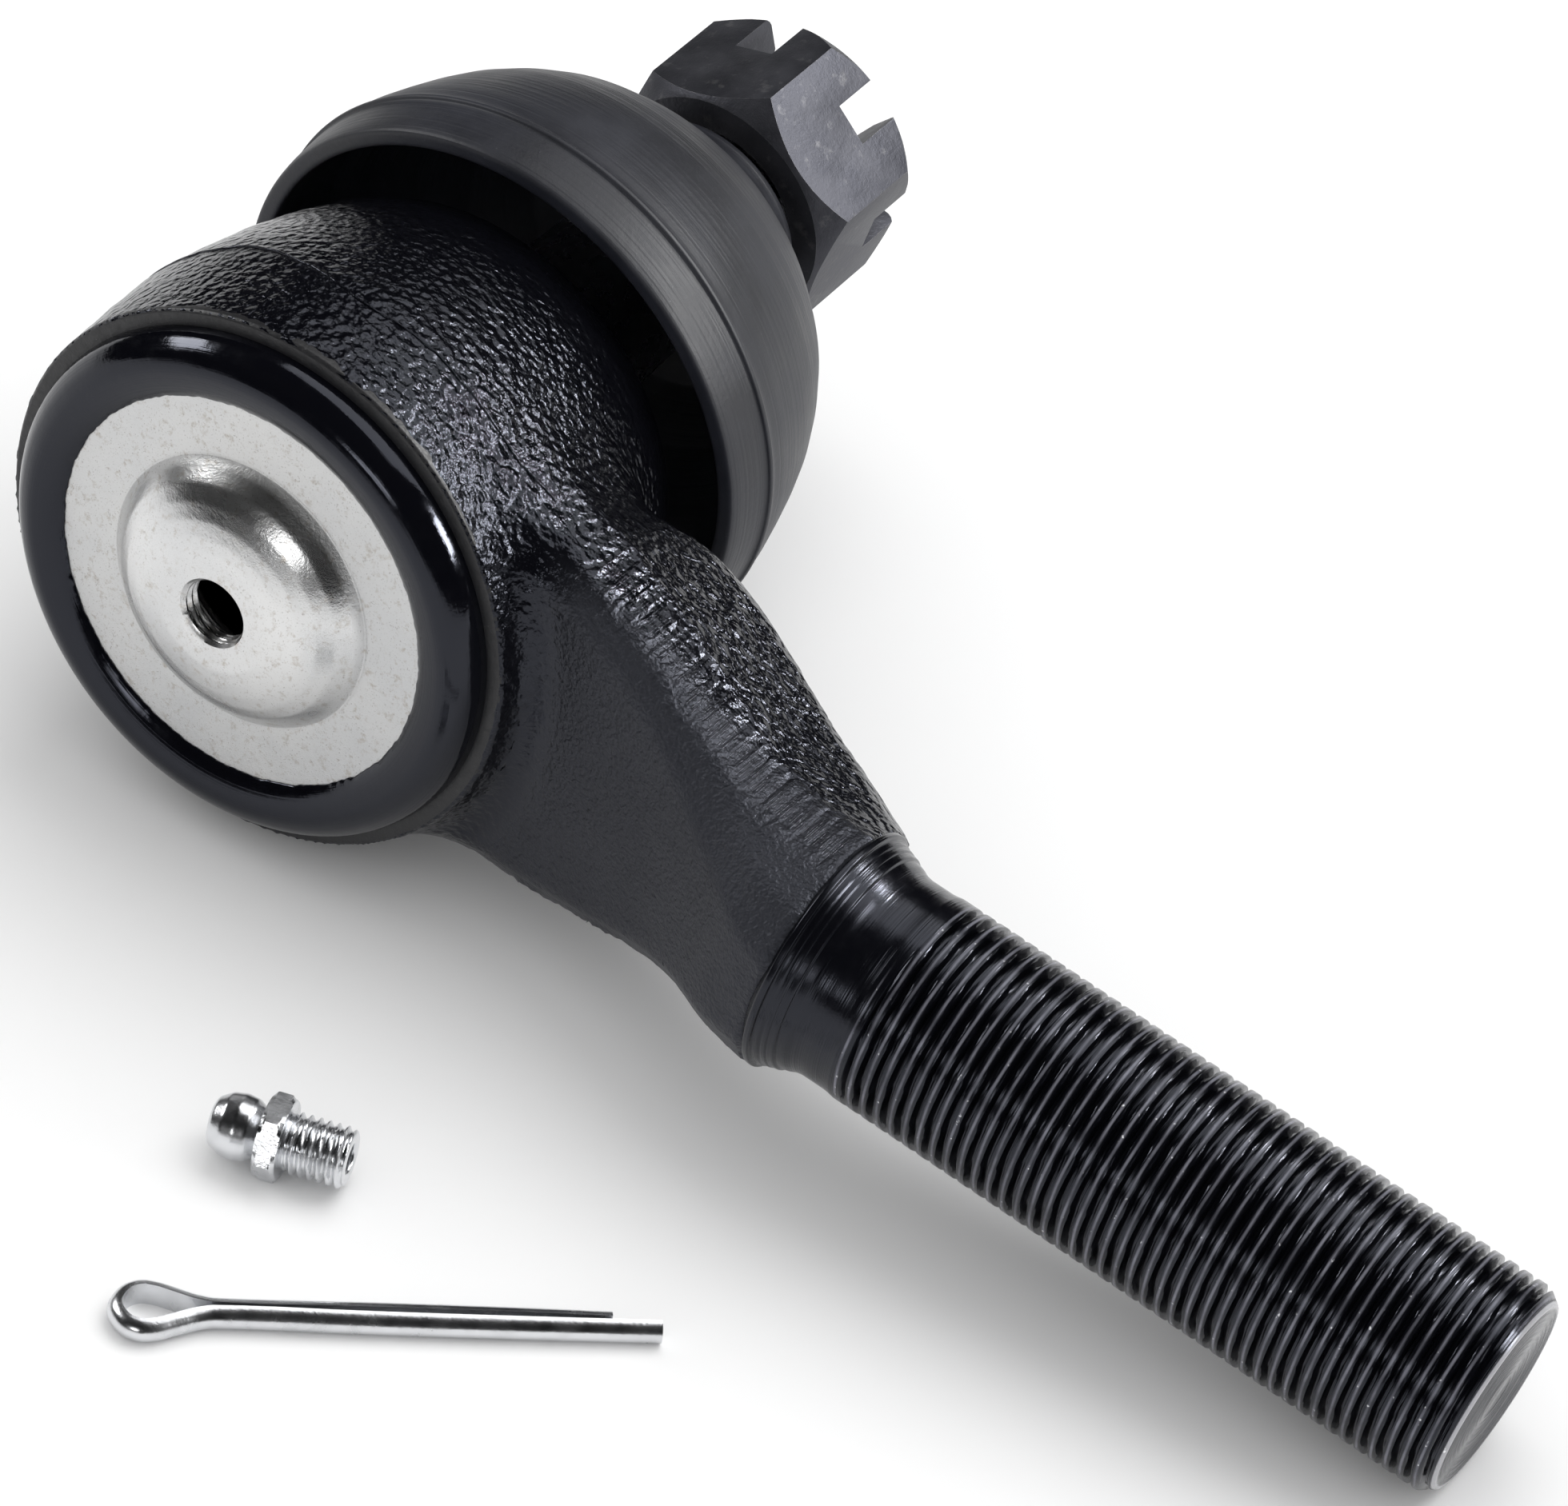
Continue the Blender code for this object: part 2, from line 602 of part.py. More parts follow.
def build_fitting(group, tools):
    """Straight grease fitting along Z, head up, with its through passage and check valve."""
    head = arc(0.0, FITTING_LENGTH - 3.1 * MM, FITTING_HEAD_RADIUS, 55, -25, 6)
    mouth = 0.75 * MM
    waist = FITTING_NECK_RADIUS + 0.2 * MM
    profile = [
        (0.0, FITTING_LENGTH),
        (1.75 * MM, FITTING_LENGTH),
        *head,
        (FITTING_NECK_RADIUS, FITTING_LENGTH - 5.0 * MM),
        (waist, FITTING_HEX_END - 0.5 * MM),
        (waist, FITTING_HEX_START + 0.3 * MM),
        (FITTING_THREAD_ROOT, FITTING_HEX_START - 0.1 * MM),
        (FITTING_THREAD_ROOT, 0.3 * MM),
        (FITTING_THREAD_ROOT - 0.3 * MM, 0.0),
        (0.0, 0.0),
    ]
    body = turned("grease_fitting", profile, group, FITTING_BODY_SIDES)
    hexagon_bm = bmesh.new()
    radius = FITTING_ACROSS_FLATS / math.sqrt(3)
    middle = (FITTING_HEX_START + FITTING_HEX_END) / 2
    bmesh.ops.create_cone(
        hexagon_bm, cap_ends=True, segments=6, radius1=radius, radius2=radius,
        depth=FITTING_HEX_END - FITTING_HEX_START, matrix=Matrix.Translation((0.0, 0.0, middle)),
    )
    hexagon = mark_cutter(add_mesh_object("fitting_hex", mesh_from_bmesh("fitting_hex", hexagon_bm), tools))
    passage = mark_cutter(turned("fitting_passage", [
        (0.0, FITTING_LENGTH + 1 * MM),
        (mouth, FITTING_LENGTH + 1 * MM),
        (mouth, FITTING_LENGTH - 0.9 * MM),
        (FITTING_PASSAGE, FITTING_LENGTH - 1.9 * MM),
        (FITTING_PASSAGE, -1 * MM),
        (0.0, -1 * MM),
    ], tools, FITTING_SIDES))
    envelope = mark_cutter(turned("fitting_thread_envelope", [
        (0.0, FITTING_HEX_START + 0.2 * MM),
        (FITTING_THREAD_RADIUS + 0.05 * MM, FITTING_HEX_START + 0.2 * MM),
        (FITTING_THREAD_RADIUS + 0.05 * MM, 0.6 * MM),
        (FITTING_THREAD_ROOT, 0.1 * MM),
        (0.0, 0.1 * MM),
    ], tools, FITTING_SIDES))
    thread = mark_cutter(helical_solid(
        "fitting_thread", FITTING_THREAD_RADIUS, FITTING_THREAD_ROOT - 0.05 * MM, FITTING_PITCH,
        0.0, FITTING_HEX_START, FITTING_SIDES, tools,
    ))
    boolean(thread, envelope, "INTERSECT")
    boolean(body, hexagon, "UNION")
    boolean(body, thread, "UNION")
    boolean(body, passage, "DIFFERENCE")
    ball_bm = bmesh.new()
    ball_z = FITTING_LENGTH - CHECK_BALL_DEPTH
    bmesh.ops.create_uvsphere(
        ball_bm, u_segments=12, v_segments=8, radius=CHECK_BALL_RADIUS,
        matrix=Matrix.Translation((0.0, 0.0, ball_z)),
    )
    ball = add_mesh_object("fitting_check_ball", mesh_from_bmesh("fitting_check_ball", ball_bm), group)
    spring = build_fitting_spring(group, ball_z - CHECK_BALL_RADIUS - CHECK_BALL_TRAVEL)
    return body, ball, spring, (hexagon, passage, thread, envelope)


def build_fitting_spring(group, top):
    """Fine coil that holds the check ball against the mouth of the fitting."""
    wire, radius, turns, bottom = 0.16 * MM, 0.95 * MM, 5, 4.2 * MM
    steps = 8 * turns
    curve = bpy.data.curves.new("fitting_spring", "CURVE")
    curve.dimensions = "3D"
    curve.bevel_depth = wire
    curve.bevel_resolution = 1
    curve.use_fill_caps = True
    spline = curve.splines.new("POLY")
    spline.points.add(steps)
    for index in range(steps + 1):
        share = index / steps
        angle = math.tau * turns * share
        place = (radius * math.cos(angle), radius * math.sin(angle), bottom + (top - bottom) * share)
        spline.points[index].co = (*place, 1.0)
    obj = bpy.data.objects.new("fitting_spring", curve)
    group.objects.link(obj)
    return obj


def leg_points(start, end):
    """A leg's centre line, bowed a little so that the two legs part between the eye and the tips."""
    points = []
    for step in range(PIN_LEG_STEPS + 1):
        share = step / PIN_LEG_STEPS
        bow = PIN_LEG_BOW * 4 * share * (1 - share)
        points.append((start + (end - start) * share, PIN_LEG_OFFSET + bow))
    return points


def cotter_path():
    """Centre line of the pin's flat side, in a plane: long leg, round the drop-shaped eye, short leg back."""
    leg_start = PIN_EYE_REACH + 4 * MM
    eye_side = (
        (PIN_EYE_REACH + 1.2 * MM, 0.22 * MM),
        (PIN_EYE_REACH - 0.4 * MM, 0.60 * MM),
        (PIN_EYE_REACH - 2.4 * MM, 1.40 * MM),
        (4.2 * MM, 2.08 * MM),
        (3.2 * MM, PIN_EYE_RADIUS),
        (2.2 * MM, 1.75 * MM),
        (1.6 * MM, 0.9 * MM),
    )
    long_leg = [(x, -y) for x, y in reversed(leg_points(leg_start, PIN_LENGTH))]
    short_leg = leg_points(leg_start, PIN_LENGTH - PIN_SHORT_LEG)
    lower = [*long_leg, *((x, -y) for x, y in eye_side)]
    upper = [*reversed(eye_side), *short_leg]
    return [*lower, (PIN_WIRE_RADIUS + 0.02 * MM, 0.0), *upper]


def build_cotter_pin(group):
    """Half-round wire folded on its flat side, lying in the XY plane with its eye at the origin."""
    path = [Vector((x, y, 0.0)) for x, y in cotter_path()]
    section = []
    for step in range(9):
        angle = math.pi * step / 8
        section.append((PIN_WIRE_RADIUS * math.cos(angle), PIN_WIRE_RADIUS * math.sin(angle)))
    bm = bmesh.new()
    rings = []
    for index, point in enumerate(path):
        before = path[max(index - 1, 0)]
        after = path[min(index + 1, len(path) - 1)]
        along = (after - before).normalized()
        outward = Vector((-along.y, along.x, 0.0))
        ring = []
        for upright, away in section:
            ring.append(bm.verts.new(point + outward * away + Vector((0.0, 0.0, upright))))
        rings.append(ring)
    count = len(section)
    for near, far in zip(rings, rings[1:]):
        for index in range(count):
            following = (index + 1) % count
            bm.faces.new((near[index], near[following], far[following], far[index]))
    bm.faces.new(rings[0])
    bm.faces.new(rings[-1])
    bmesh.ops.recalc_face_normals(bm, faces=bm.faces)
    return add_mesh_object("cotter_pin", mesh_from_bmesh("cotter_pin", bm), group)


def finish_material(obj, mat):
    obj.data.materials.append(mat)
    if obj.type == "MESH":
        obj.data.shade_smooth()
        obj.data.set_sharp_from_angle(angle=math.radians(35))


def hang_on(parent, children):
    """Parent pieces to an empty, keeping what they were built with as their place under it."""
    for child in children:
        child.parent = parent


def make_empty(name, group):
    empty = bpy.data.objects.new(name, None)
    empty.empty_display_size = 0.02
    group.objects.link(empty)
    return empty


def lowest_point(objects):
    """Lowest world height over the evaluated pieces."""
    depsgraph = bpy.context.evaluated_depsgraph_get()
    low = math.inf
    for obj in objects:
        evaluated = obj.evaluated_get(depsgraph)
        mesh = evaluated.to_mesh()
        low = min(low, min((evaluated.matrix_world @ vert.co).z for vert in mesh.vertices))
        evaluated.to_mesh_clear()
    return low


def centre_on_floor(root, objects):
    """Move the root so that the box round every piece stands centred on the origin."""
    depsgraph = bpy.context.evaluated_depsgraph_get()
    corners = []
    for obj in objects:
        evaluated = obj.evaluated_get(depsgraph)
        mesh = evaluated.to_mesh()
        corners += [evaluated.matrix_world @ vert.co for vert in mesh.vertices]
        evaluated.to_mesh_clear()
    middle_x = (min(c.x for c in corners) + max(c.x for c in corners)) / 2
    middle_y = (min(c.y for c in corners) + max(c.y for c in corners)) / 2
    root.location -= Vector((middle_x, middle_y, 0.0))
    bpy.context.view_layer.update()


def main():
    clear_scene()
    group = make_collection("tie_rod_end")
    tools = make_collection("cutters")

    black_paint = make_material("black_paint", (0.02, 0.02, 0.025), 0.35, 0.0)
    zinc_plate = make_material("zinc_plate", (0.72, 0.72, 0.70), 0.4, 1.0)
    rubber = make_material("boot_rubber", (0.05, 0.055, 0.065), 0.6, 0.0)
    phosphate = make_material("phosphate_steel", (0.10, 0.10, 0.12), 0.55, 0.7)
    stud_steel = make_material("stud_steel", (0.55, 0.55, 0.56), 0.35, 1.0)
    spring_steel = make_material("spring_steel", (0.30, 0.30, 0.32), 0.35, 1.0)
    bearing = make_material("bearing_steel", (0.45, 0.44, 0.42), 0.35, 1.0)
    bright_zinc = make_material("bright_zinc", (0.78, 0.79, 0.80), 0.25, 1.0)

    root = make_empty("assembly", group)
    ball_frame = make_empty("ball_frame", group)
    stud_frame = make_empty("stud_axis", group)

    housing = build_housing(group, tools)
    housing_tools = [obj for obj in tools.objects]
    cover = build_cover(group, tools)
    pressure_seat, upper_seat = build_seats(group)
    preload_spring = build_spring(group)
    half_ball = build_half_ball(group)
    stud, stud_tools = build_stud(group, tools)
    boot = build_boot(group)
    nut, nut_tools = build_nut(group, tools)
    fitting, check_ball, fitting_spring, fitting_tools = build_fitting(group, tools)
    pin = build_cotter_pin(group)

    hang_on(ball_frame, [housing, cover, pressure_seat, upper_seat, preload_spring, *housing_tools])
    hang_on(stud_frame, [half_ball, stud, boot, nut, *stud_tools, *nut_tools])
    stud_frame.parent = ball_frame
    lean_axis = Vector((math.cos(LEAN_AXIS_TURN), math.sin(LEAN_AXIS_TURN), 0.0))
    stud_frame.matrix_local = Matrix.Rotation(LEAN_ANGLE, 4, lean_axis)

    ball_frame.parent = root
    lying = Matrix.Rotation(NOSE_DOWN, 4, "Y") @ Matrix.Rotation(-ROLL - math.pi / 2, 4, "X")
    ball_frame.matrix_local = lying
    bpy.context.view_layer.update()
    resting = [housing, boot, nut, cover]
    ball_frame.matrix_local = Matrix.Translation((0.0, 0.0, -lowest_point(resting))) @ lying

    fitting_frame = make_empty("fitting_axis", group)
    hang_on(fitting_frame, [fitting, check_ball, fitting_spring, *fitting_tools])
    fitting_frame.parent = root
    fitting_turn = Euler((0.0, -math.pi / 2, FITTING_HEADING)).to_matrix().to_4x4()
    fitting_place = Vector((*FITTING_PLACE, FITTING_ACROSS_FLATS / 2))
    fitting_frame.matrix_local = Matrix.Translation(fitting_place) @ fitting_turn

    pin_frame = make_empty("pin_axis", group)
    hang_on(pin_frame, [pin])
    pin_frame.parent = root
    pin_frame.matrix_local = (
        Matrix.Translation(Vector((*PIN_PLACE, PIN_WIRE_RADIUS))) @ Matrix.Rotation(PIN_HEADING, 4, "Z")
    )

    finishes = {
        housing: black_paint,
        cover: zinc_plate,
        pressure_seat: bearing,
        upper_seat: bearing,
        half_ball: bearing,
        preload_spring: spring_steel,
        stud: stud_steel,
        boot: rubber,
        nut: phosphate,
        fitting: bright_zinc,
        check_ball: bearing,
        fitting_spring: spring_steel,
        pin: bright_zinc,
    }
    for obj, mat in finishes.items():
        finish_material(obj, mat)
    bpy.context.view_layer.update()
    centre_on_floor(root, list(finishes))


main()
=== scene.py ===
"""Tie rod end: the finished look of its forged housing, ball stud, boot, nut and loose hardware."""

import json
import math

import bmesh
import bpy
import numpy as np
from mathutils import Matrix, Vector


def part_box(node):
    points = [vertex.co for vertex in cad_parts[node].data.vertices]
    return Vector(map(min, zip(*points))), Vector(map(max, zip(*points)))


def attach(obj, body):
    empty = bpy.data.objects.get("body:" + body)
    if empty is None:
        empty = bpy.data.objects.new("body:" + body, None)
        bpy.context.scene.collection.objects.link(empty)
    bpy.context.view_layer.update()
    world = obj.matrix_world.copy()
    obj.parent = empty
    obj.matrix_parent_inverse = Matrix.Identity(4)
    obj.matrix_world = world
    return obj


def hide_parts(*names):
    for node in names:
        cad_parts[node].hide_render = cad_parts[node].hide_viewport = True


bl_info = {
    "name": "Tie Rod End",
    "version": (1, 0, 0),
    "blender": (4, 5, 0),
    "location": "View3D > Sidebar > Tie Rod End",
    "description": "Builds the finished pieces of a greasable tie rod end around its packed frame",
    "category": "Object",
}

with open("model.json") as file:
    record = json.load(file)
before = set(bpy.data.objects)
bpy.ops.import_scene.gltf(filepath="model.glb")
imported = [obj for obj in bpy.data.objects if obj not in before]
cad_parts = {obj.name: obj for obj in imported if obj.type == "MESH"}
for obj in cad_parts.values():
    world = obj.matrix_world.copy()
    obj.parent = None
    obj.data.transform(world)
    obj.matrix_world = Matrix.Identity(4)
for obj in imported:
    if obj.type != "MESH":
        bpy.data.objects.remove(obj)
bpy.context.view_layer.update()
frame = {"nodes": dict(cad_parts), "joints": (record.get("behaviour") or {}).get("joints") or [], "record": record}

MM = 0.001
TAU = 2.0 * math.pi
JOINTS = {joint["name"]: joint for joint in frame["joints"]}
MOUNTS = {mount["name"]: mount for mount in frame["record"]["mounts"]}

# The housing's own frame: its origin is the ball centre, Z the bore and X the shank.
BALL_CENTRE = np.array(JOINTS["swing_direction"]["pos_m"])
BORE_AXIS = np.array(JOINTS["swing_direction"]["axis"])
SHANK_AXIS = np.array(MOUNTS["shank_end"]["axis"])
STUD_AXIS = np.array(JOINTS["stud_spin"]["axis"])
FITTING_INWARD = np.array(JOINTS["check_ball_press"]["axis"])


def basis_of(z_axis, x_hint):
    """Columns X, Y, Z of a right-handed frame with that Z and an X as near the hint as can be."""
    z_axis = z_axis / np.linalg.norm(z_axis)
    x_axis = x_hint - z_axis * np.dot(x_hint, z_axis)
    x_axis = x_axis / np.linalg.norm(x_axis)
    return np.stack([x_axis, np.cross(z_axis, x_axis), z_axis], axis=1)


HOUSING_BASIS = basis_of(BORE_AXIS, SHANK_AXIS)
LEAN_AXIS = np.array(JOINTS["stud_swing"]["axis"])
LEAN = math.acos(float(np.clip(np.dot(BORE_AXIS, STUD_AXIS), -1.0, 1.0)))
STUD_BASIS = np.array(Matrix.Rotation(LEAN, 3, Vector(LEAN_AXIS))) @ HOUSING_BASIS


class Place:
    """Where a piece's own millimetres stand in the row frame."""

    def __init__(self, origin, basis):
        self.origin = np.asarray(origin, float)
        self.basis = np.asarray(basis, float)

    def row(self, points):
        return self.origin + (np.asarray(points, float) * MM) @ self.basis.T

    def local(self, points):
        return (np.asarray(points, float) - self.origin) @ self.basis / MM


SHANK_DROP = 16.2
HOUSING = Place(BALL_CENTRE, HOUSING_BASIS)
STUD = Place(BALL_CENTRE, STUD_BASIS)
SHANK = Place(
    HOUSING.row([0.0, 0.0, -SHANK_DROP]),
    np.stack([-HOUSING_BASIS[:, 2], HOUSING_BASIS[:, 1], HOUSING_BASIS[:, 0]], axis=1),
)


def loose_place(node, axis):
    """Frame of a loose round piece that lies on the floor: Z along it, from the end the axis leaves."""
    low, high = (np.array(corner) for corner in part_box(node))
    centre = (low + high) / 2
    up = np.array([0.0, 0.0, 1.0])
    return Place(centre, np.stack([up, np.cross(axis, up), axis], axis=1))


# ---------------------------------------------------------------------------------------------
# Outlines and meshes
# ---------------------------------------------------------------------------------------------


def softened(outline, reach=0.4, steps=3, closed=False):
    """An outline with each corner turned into a short curve that starts `reach` before it."""
    points = [np.array(point, float) for point in outline]
    count = len(points)
    result = []
    for index, corner in enumerate(points):
        if not closed and index in (0, count - 1):
            result.append(corner)
            continue
        before, after = points[index - 1], points[(index + 1) % count]
        back, ahead = before - corner, after - corner
        first = corner + back * min(reach / max(np.linalg.norm(back), 1e-9), 0.45)
        last = corner + ahead * min(reach / max(np.linalg.norm(ahead), 1e-9), 0.45)
        for step in range(steps + 1):
            share = step / steps
            result.append((1 - share) ** 2 * first + 2 * share * (1 - share) * corner + share**2 * last)
    return np.array(result)


def refined(outline, longest, closed=False):
    """An outline cut so that no part of it is longer than `longest`."""
    points = np.asarray(outline, float)
    ends = np.roll(points, -1, axis=0) if closed else points[1:]
    result = []
    for start, end in zip(points, ends):
        pieces = max(1, math.ceil(np.linalg.norm(end - start) / longest))
        result += [start + (end - start) * step / pieces for step in range(pieces)]
    if not closed:
        result.append(points[-1])
    return np.array(result)


def revolved(outline, sides):
    """Rows of points round Z, one row for each (radius, height) of the outline."""
    outline = np.asarray(outline, float)
    angles = np.arange(sides) * TAU / sides
    radii, heights = outline[:, :1], outline[:, 1:2]
    return np.stack([
        radii * np.cos(angles),
        radii * np.sin(angles),
        np.repeat(heights, sides, axis=1),
    ], axis=2)


def arc(radius, start, end, count, height=0.0):
    """Points of an arc round (0, height), between two angles in degrees."""
    turns = np.radians(np.linspace(start, end, count))
    return [(radius * math.cos(turn), height + radius * math.sin(turn)) for turn in turns]


def polar(rows):
    """How far each point is from Z, and its angle round it."""
    return np.hypot(rows[..., 0], rows[..., 1]), np.arctan2(rows[..., 1], rows[..., 0])


def widen(rows, share):
    """Multiply each point's distance from Z."""
    rows[..., :2] *= share[..., None]


def ring_faces(rows, sides, closed):
    """Quads between neighbouring rings, each ring wrapping round."""
    count = rows if closed else rows - 1
    near = np.arange(count)[:, None] * sides
    far = (np.arange(count)[:, None] + 1) % rows * sides
    this = np.arange(sides)[None, :]
    following = (this + 1) % sides
    return np.stack([near + this, far + this, far + following, near + following], axis=2).reshape(-1, 4)


def link_object(name, data):
    """A new object at the origin for a mesh, a light or a camera."""
    obj = bpy.data.objects.new(name, data)
    bpy.context.scene.collection.objects.link(obj)
    return obj


def mesh_object(name, points, faces, smooth_angle=40.0):
    """A mesh object at the origin from row-frame points, its faces pointing outwards."""
    mesh = bpy.data.meshes.new(name)
    mesh.from_pydata([tuple(point) for point in points], [], [tuple(face) for face in faces])
    mesh.validate()
    bm = bmesh.new()
    bm.from_mesh(mesh)
    bmesh.ops.remove_doubles(bm, verts=bm.verts, dist=1e-7)
    bmesh.ops.recalc_face_normals(bm, faces=bm.faces)
    bm.to_mesh(mesh)
    bm.free()
    mesh.shade_smooth()
    mesh.set_sharp_from_angle(angle=math.radians(smooth_angle))
    return link_object(name, mesh)


def ring_object(name, rows, place, closed=False, smooth_angle=40.0):
    """A piece from rings of points in its own millimetres; its open ends are closed by flat fans."""
    rows = np.asarray(rows, float)
    count, sides = rows.shape[:2]
    points = rows.reshape(-1, 3)
    faces = [list(face) for face in ring_faces(count, sides, closed)]
    if not closed:
        for ring in (0, count - 1):
            middle = len(points)
            points = np.vstack([points, rows[ring].mean(axis=0)])
            base = ring * sides
            faces += [[base + side, base + (side + 1) % sides, middle] for side in range(sides)]
    return mesh_object(name, place.row(points), faces, smooth_angle)


def store(obj, name, values):
    """Keep one number for each vertex, for the piece's material to read."""
    attribute = obj.data.attributes.new(name, "FLOAT", "POINT")
    attribute.data.foreach_set("value", np.asarray(values, np.float32))


def positions(obj):
    flat = np.empty(len(obj.data.vertices) * 3)
    obj.data.vertices.foreach_get("co", flat)
    return flat.reshape(-1, 3)


def set_positions(obj, points):
    obj.data.vertices.foreach_set("co", np.asarray(points, np.float32).ravel())
    obj.data.update()


def finish_piece(obj, material, body, replaced=()):
    """Give a piece its material and its CAD body, and hide the CAD nodes it stands for."""
    if material.name not in obj.data.materials:
        obj.data.materials.clear()
        obj.data.materials.append(material)
    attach(obj, body)
    if replaced:
        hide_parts(*replaced)
    return obj


def ramp(values, width):
    """A share that goes from 0 to 1 as the values go from 0 to a width."""
    return np.clip(values / width, 0, 1)


def wander(values, seed, scale, octaves=4):
    """Smooth noise in one dimension, about -1 to 1, the same for the same seed."""
    generator = np.random.default_rng(seed)
    total = np.zeros_like(values)
    for octave in range(octaves):
        frequency = scale * 2**octave
        total += np.sin(values * frequency + generator.uniform(0, TAU)) / 1.7**octave
    return total / 2.0


def thread_height(along, angle, pitch, crest_flat=0.10, root_flat=0.22):
    """Height of a right-hand thread from root (0) to crest (1)."""
    phase = np.mod(along / pitch - angle / TAU, 1.0)
    ramp = np.abs(phase - 0.5) * 2.0
    return np.clip((ramp - root_flat) / (1.0 - crest_flat - root_flat), 0.0, 1.0)


def threaded_rows(outline, sides, pitch, root, thread_start, thread_end, step=0.13, run_out=2.0):
    """Rings of a turned outline whose stretch from thread_start to thread_end carries a thread."""
    rows = revolved(refined(outline, step), sides)
    radius, angle = polar(rows)
    along = rows[..., 2]
    fade = ramp(along - thread_start, run_out) * (along <= thread_end)
    fade = fade * fade * (3 - 2 * fade)
    crest = radius.max()
    depth = (crest - root) * (1 - thread_height(along, angle, pitch))
    limit = crest - depth * fade
    widen(rows, np.where(fade > 0, np.minimum(radius, limit) / np.maximum(radius, 1e-6), 1.0))
    return rows


# ---------------------------------------------------------------------------------------------
# The forging's shape, as distances in millimetres in the housing's frame
# ---------------------------------------------------------------------------------------------

COVER_FACE = -20.0
STEP_FACE = -17.7
BOSS_OUTLINE = (
    (17.6, 19.4), (19.5, 19.5), (22.6, 18.8), (24.8, 17.1), (26.2, 13.9), (27.5, 9.0), (28.5, 4.0),
    (29.3, -2.0), (29.6, -6.5), (29.3, -11.0), (28.8, -17.6), (20.4, -17.6), (20.4, 12.6), (14.4, 12.6),
    (14.4, 14.4), (17.3, 18.4),
)
# x, half width, underside, middle of trimmed edge, top, half width of the top, upper and lower corner,
# with heights from the cover face
ARM_STATIONS = np.array((
    (21.0, 21.2, 6.6, 12.2, 25.9, 16.9, 2.4, 2.4),
    (27.0, 20.3, 6.3, 11.9, 25.8, 16.2, 2.4, 2.4),
    (34.0, 18.8, 5.1, 10.3, 26.0, 15.6, 1.2, 2.4),
    (41.0, 16.9, 3.5, 8.7, 25.2, 14.0, 1.2, 2.6),
    (48.0, 14.3, 1.1, 6.9, 23.0, 12.0, 1.2, 3.0),
    (55.0, 12.3, -2.4, 5.2, 20.1, 10.5, 1.4, 4.0),
    (61.0, 11.8, -6.2, 4.1, 18.0, 9.7, 2.2, 5.0),
    (67.5, 12.0, -8.4, 3.8, 16.5, 8.0, 3.8, 6.2),
))
BAND_HALF = 3.2
EDGE_ROUND = 1.1
FILLET = 5.0


def eased(values, table):
    """Smooth interpolation of a table's columns over its first column, by cubic Hermite pieces."""
    knots = table[:, 0]
    slopes = np.gradient(table[:, 1:], knots, axis=0)
    values = np.clip(values, knots[0], knots[-1])
    index = np.clip(np.searchsorted(knots, values) - 1, 0, len(knots) - 2)
    width = knots[index + 1] - knots[index]
    t = ((values - knots[index]) / width)[:, None]
    width = width[:, None]
    low, high = table[index, 1:], table[index + 1, 1:]
    return (
        (2 * t**3 - 3 * t**2 + 1) * low + (t**3 - 2 * t**2 + t) * width * slopes[index]
        + (-2 * t**3 + 3 * t**2) * high + (t**3 - t**2) * width * slopes[index + 1]
    )


def outline_distance(px, py, xs, ys):
    """Signed distance from points to closed outlines, one outline for all or one for each point."""
    nearest = np.full(px.shape, 1e9)
    sign = np.ones(px.shape)
    count = len(xs)
    for index in range(count):
        ax, ay = xs[index], ys[index]
        bx, by = xs[index - 1], ys[index - 1]
        ex, ey = bx - ax, by - ay
        wx, wy = px - ax, py - ay
        share = np.clip((wx * ex + wy * ey) / np.maximum(ex * ex + ey * ey, 1e-9), 0, 1)
        nearest = np.minimum(nearest, (wx - ex * share) ** 2 + (wy - ey * share) ** 2)
        above = py >= ay
        below = py < by
        left = ex * wy > ey * wx
        flip = (above & below & left) | (~above & ~below & ~left)
        sign = np.where(flip, -sign, sign)
    return sign * np.sqrt(nearest)


def arm_outline(x):
    """The arm's cross-section at each x, as corners in Y and Z, inset by the edge rounding."""
    half, bottom, middle, top, crown, corner, lower = eased(x, ARM_STATIONS).T
    bottom, middle, top = bottom + COVER_FACE, middle + COVER_FACE, top + COVER_FACE
    half, bottom, top = half - EDGE_ROUND, bottom + EDGE_ROUND, top - EDGE_ROUND
    crown = crown - EDGE_ROUND
    lower_band = np.maximum(middle - BAND_HALF, bottom + lower)
    trim_top = middle + BAND_HALF
    draft = (half - crown) / (top - trim_top)
    side = [
        (half - lower, bottom),
        (half - lower * 0.3, bottom + lower * 0.5),
        (half, lower_band),
        (half, trim_top),
        (crown + draft * corner, top - corner),
        (crown - corner * 0.25, top - corner * 0.25),
        (crown - corner, top),
    ]
    ys = [point[0] for point in side] + [-point[0] for point in reversed(side)]
    zs = [point[1] for point in side] + [point[1] for point in reversed(side)]
    return ys, zs


def boss_distance(points):
    x, y, z = points.T
    radius = np.hypot(x, y)
    xs = [np.full(radius.shape, corner[0]) for corner in BOSS_OUTLINE]
    zs = [np.full(radius.shape, corner[1]) for corner in BOSS_OUTLINE]
    return outline_distance(radius, z, xs, zs)


def arm_distance(points):
    x, y, z = points.T
    ys, zs = arm_outline(x)
    across = outline_distance(y, z, ys, zs) - EDGE_ROUND
    ends = np.maximum(ARM_STATIONS[0, 0] - x, x - ARM_STATIONS[-1, 0] + 0.6) - 0.6
    return np.maximum(across, ends)


def parting_height(angle):
    """Height of the boss's parting line at an angle round it: it wanders, and rises round the far side."""
    degrees = np.degrees(angle)
    rise = 3.2 * ramp(-degrees - 95.0, 30.0)
    return -8.0 + rise + 0.35 * wander(angle * 9.0, 3, 1.0)


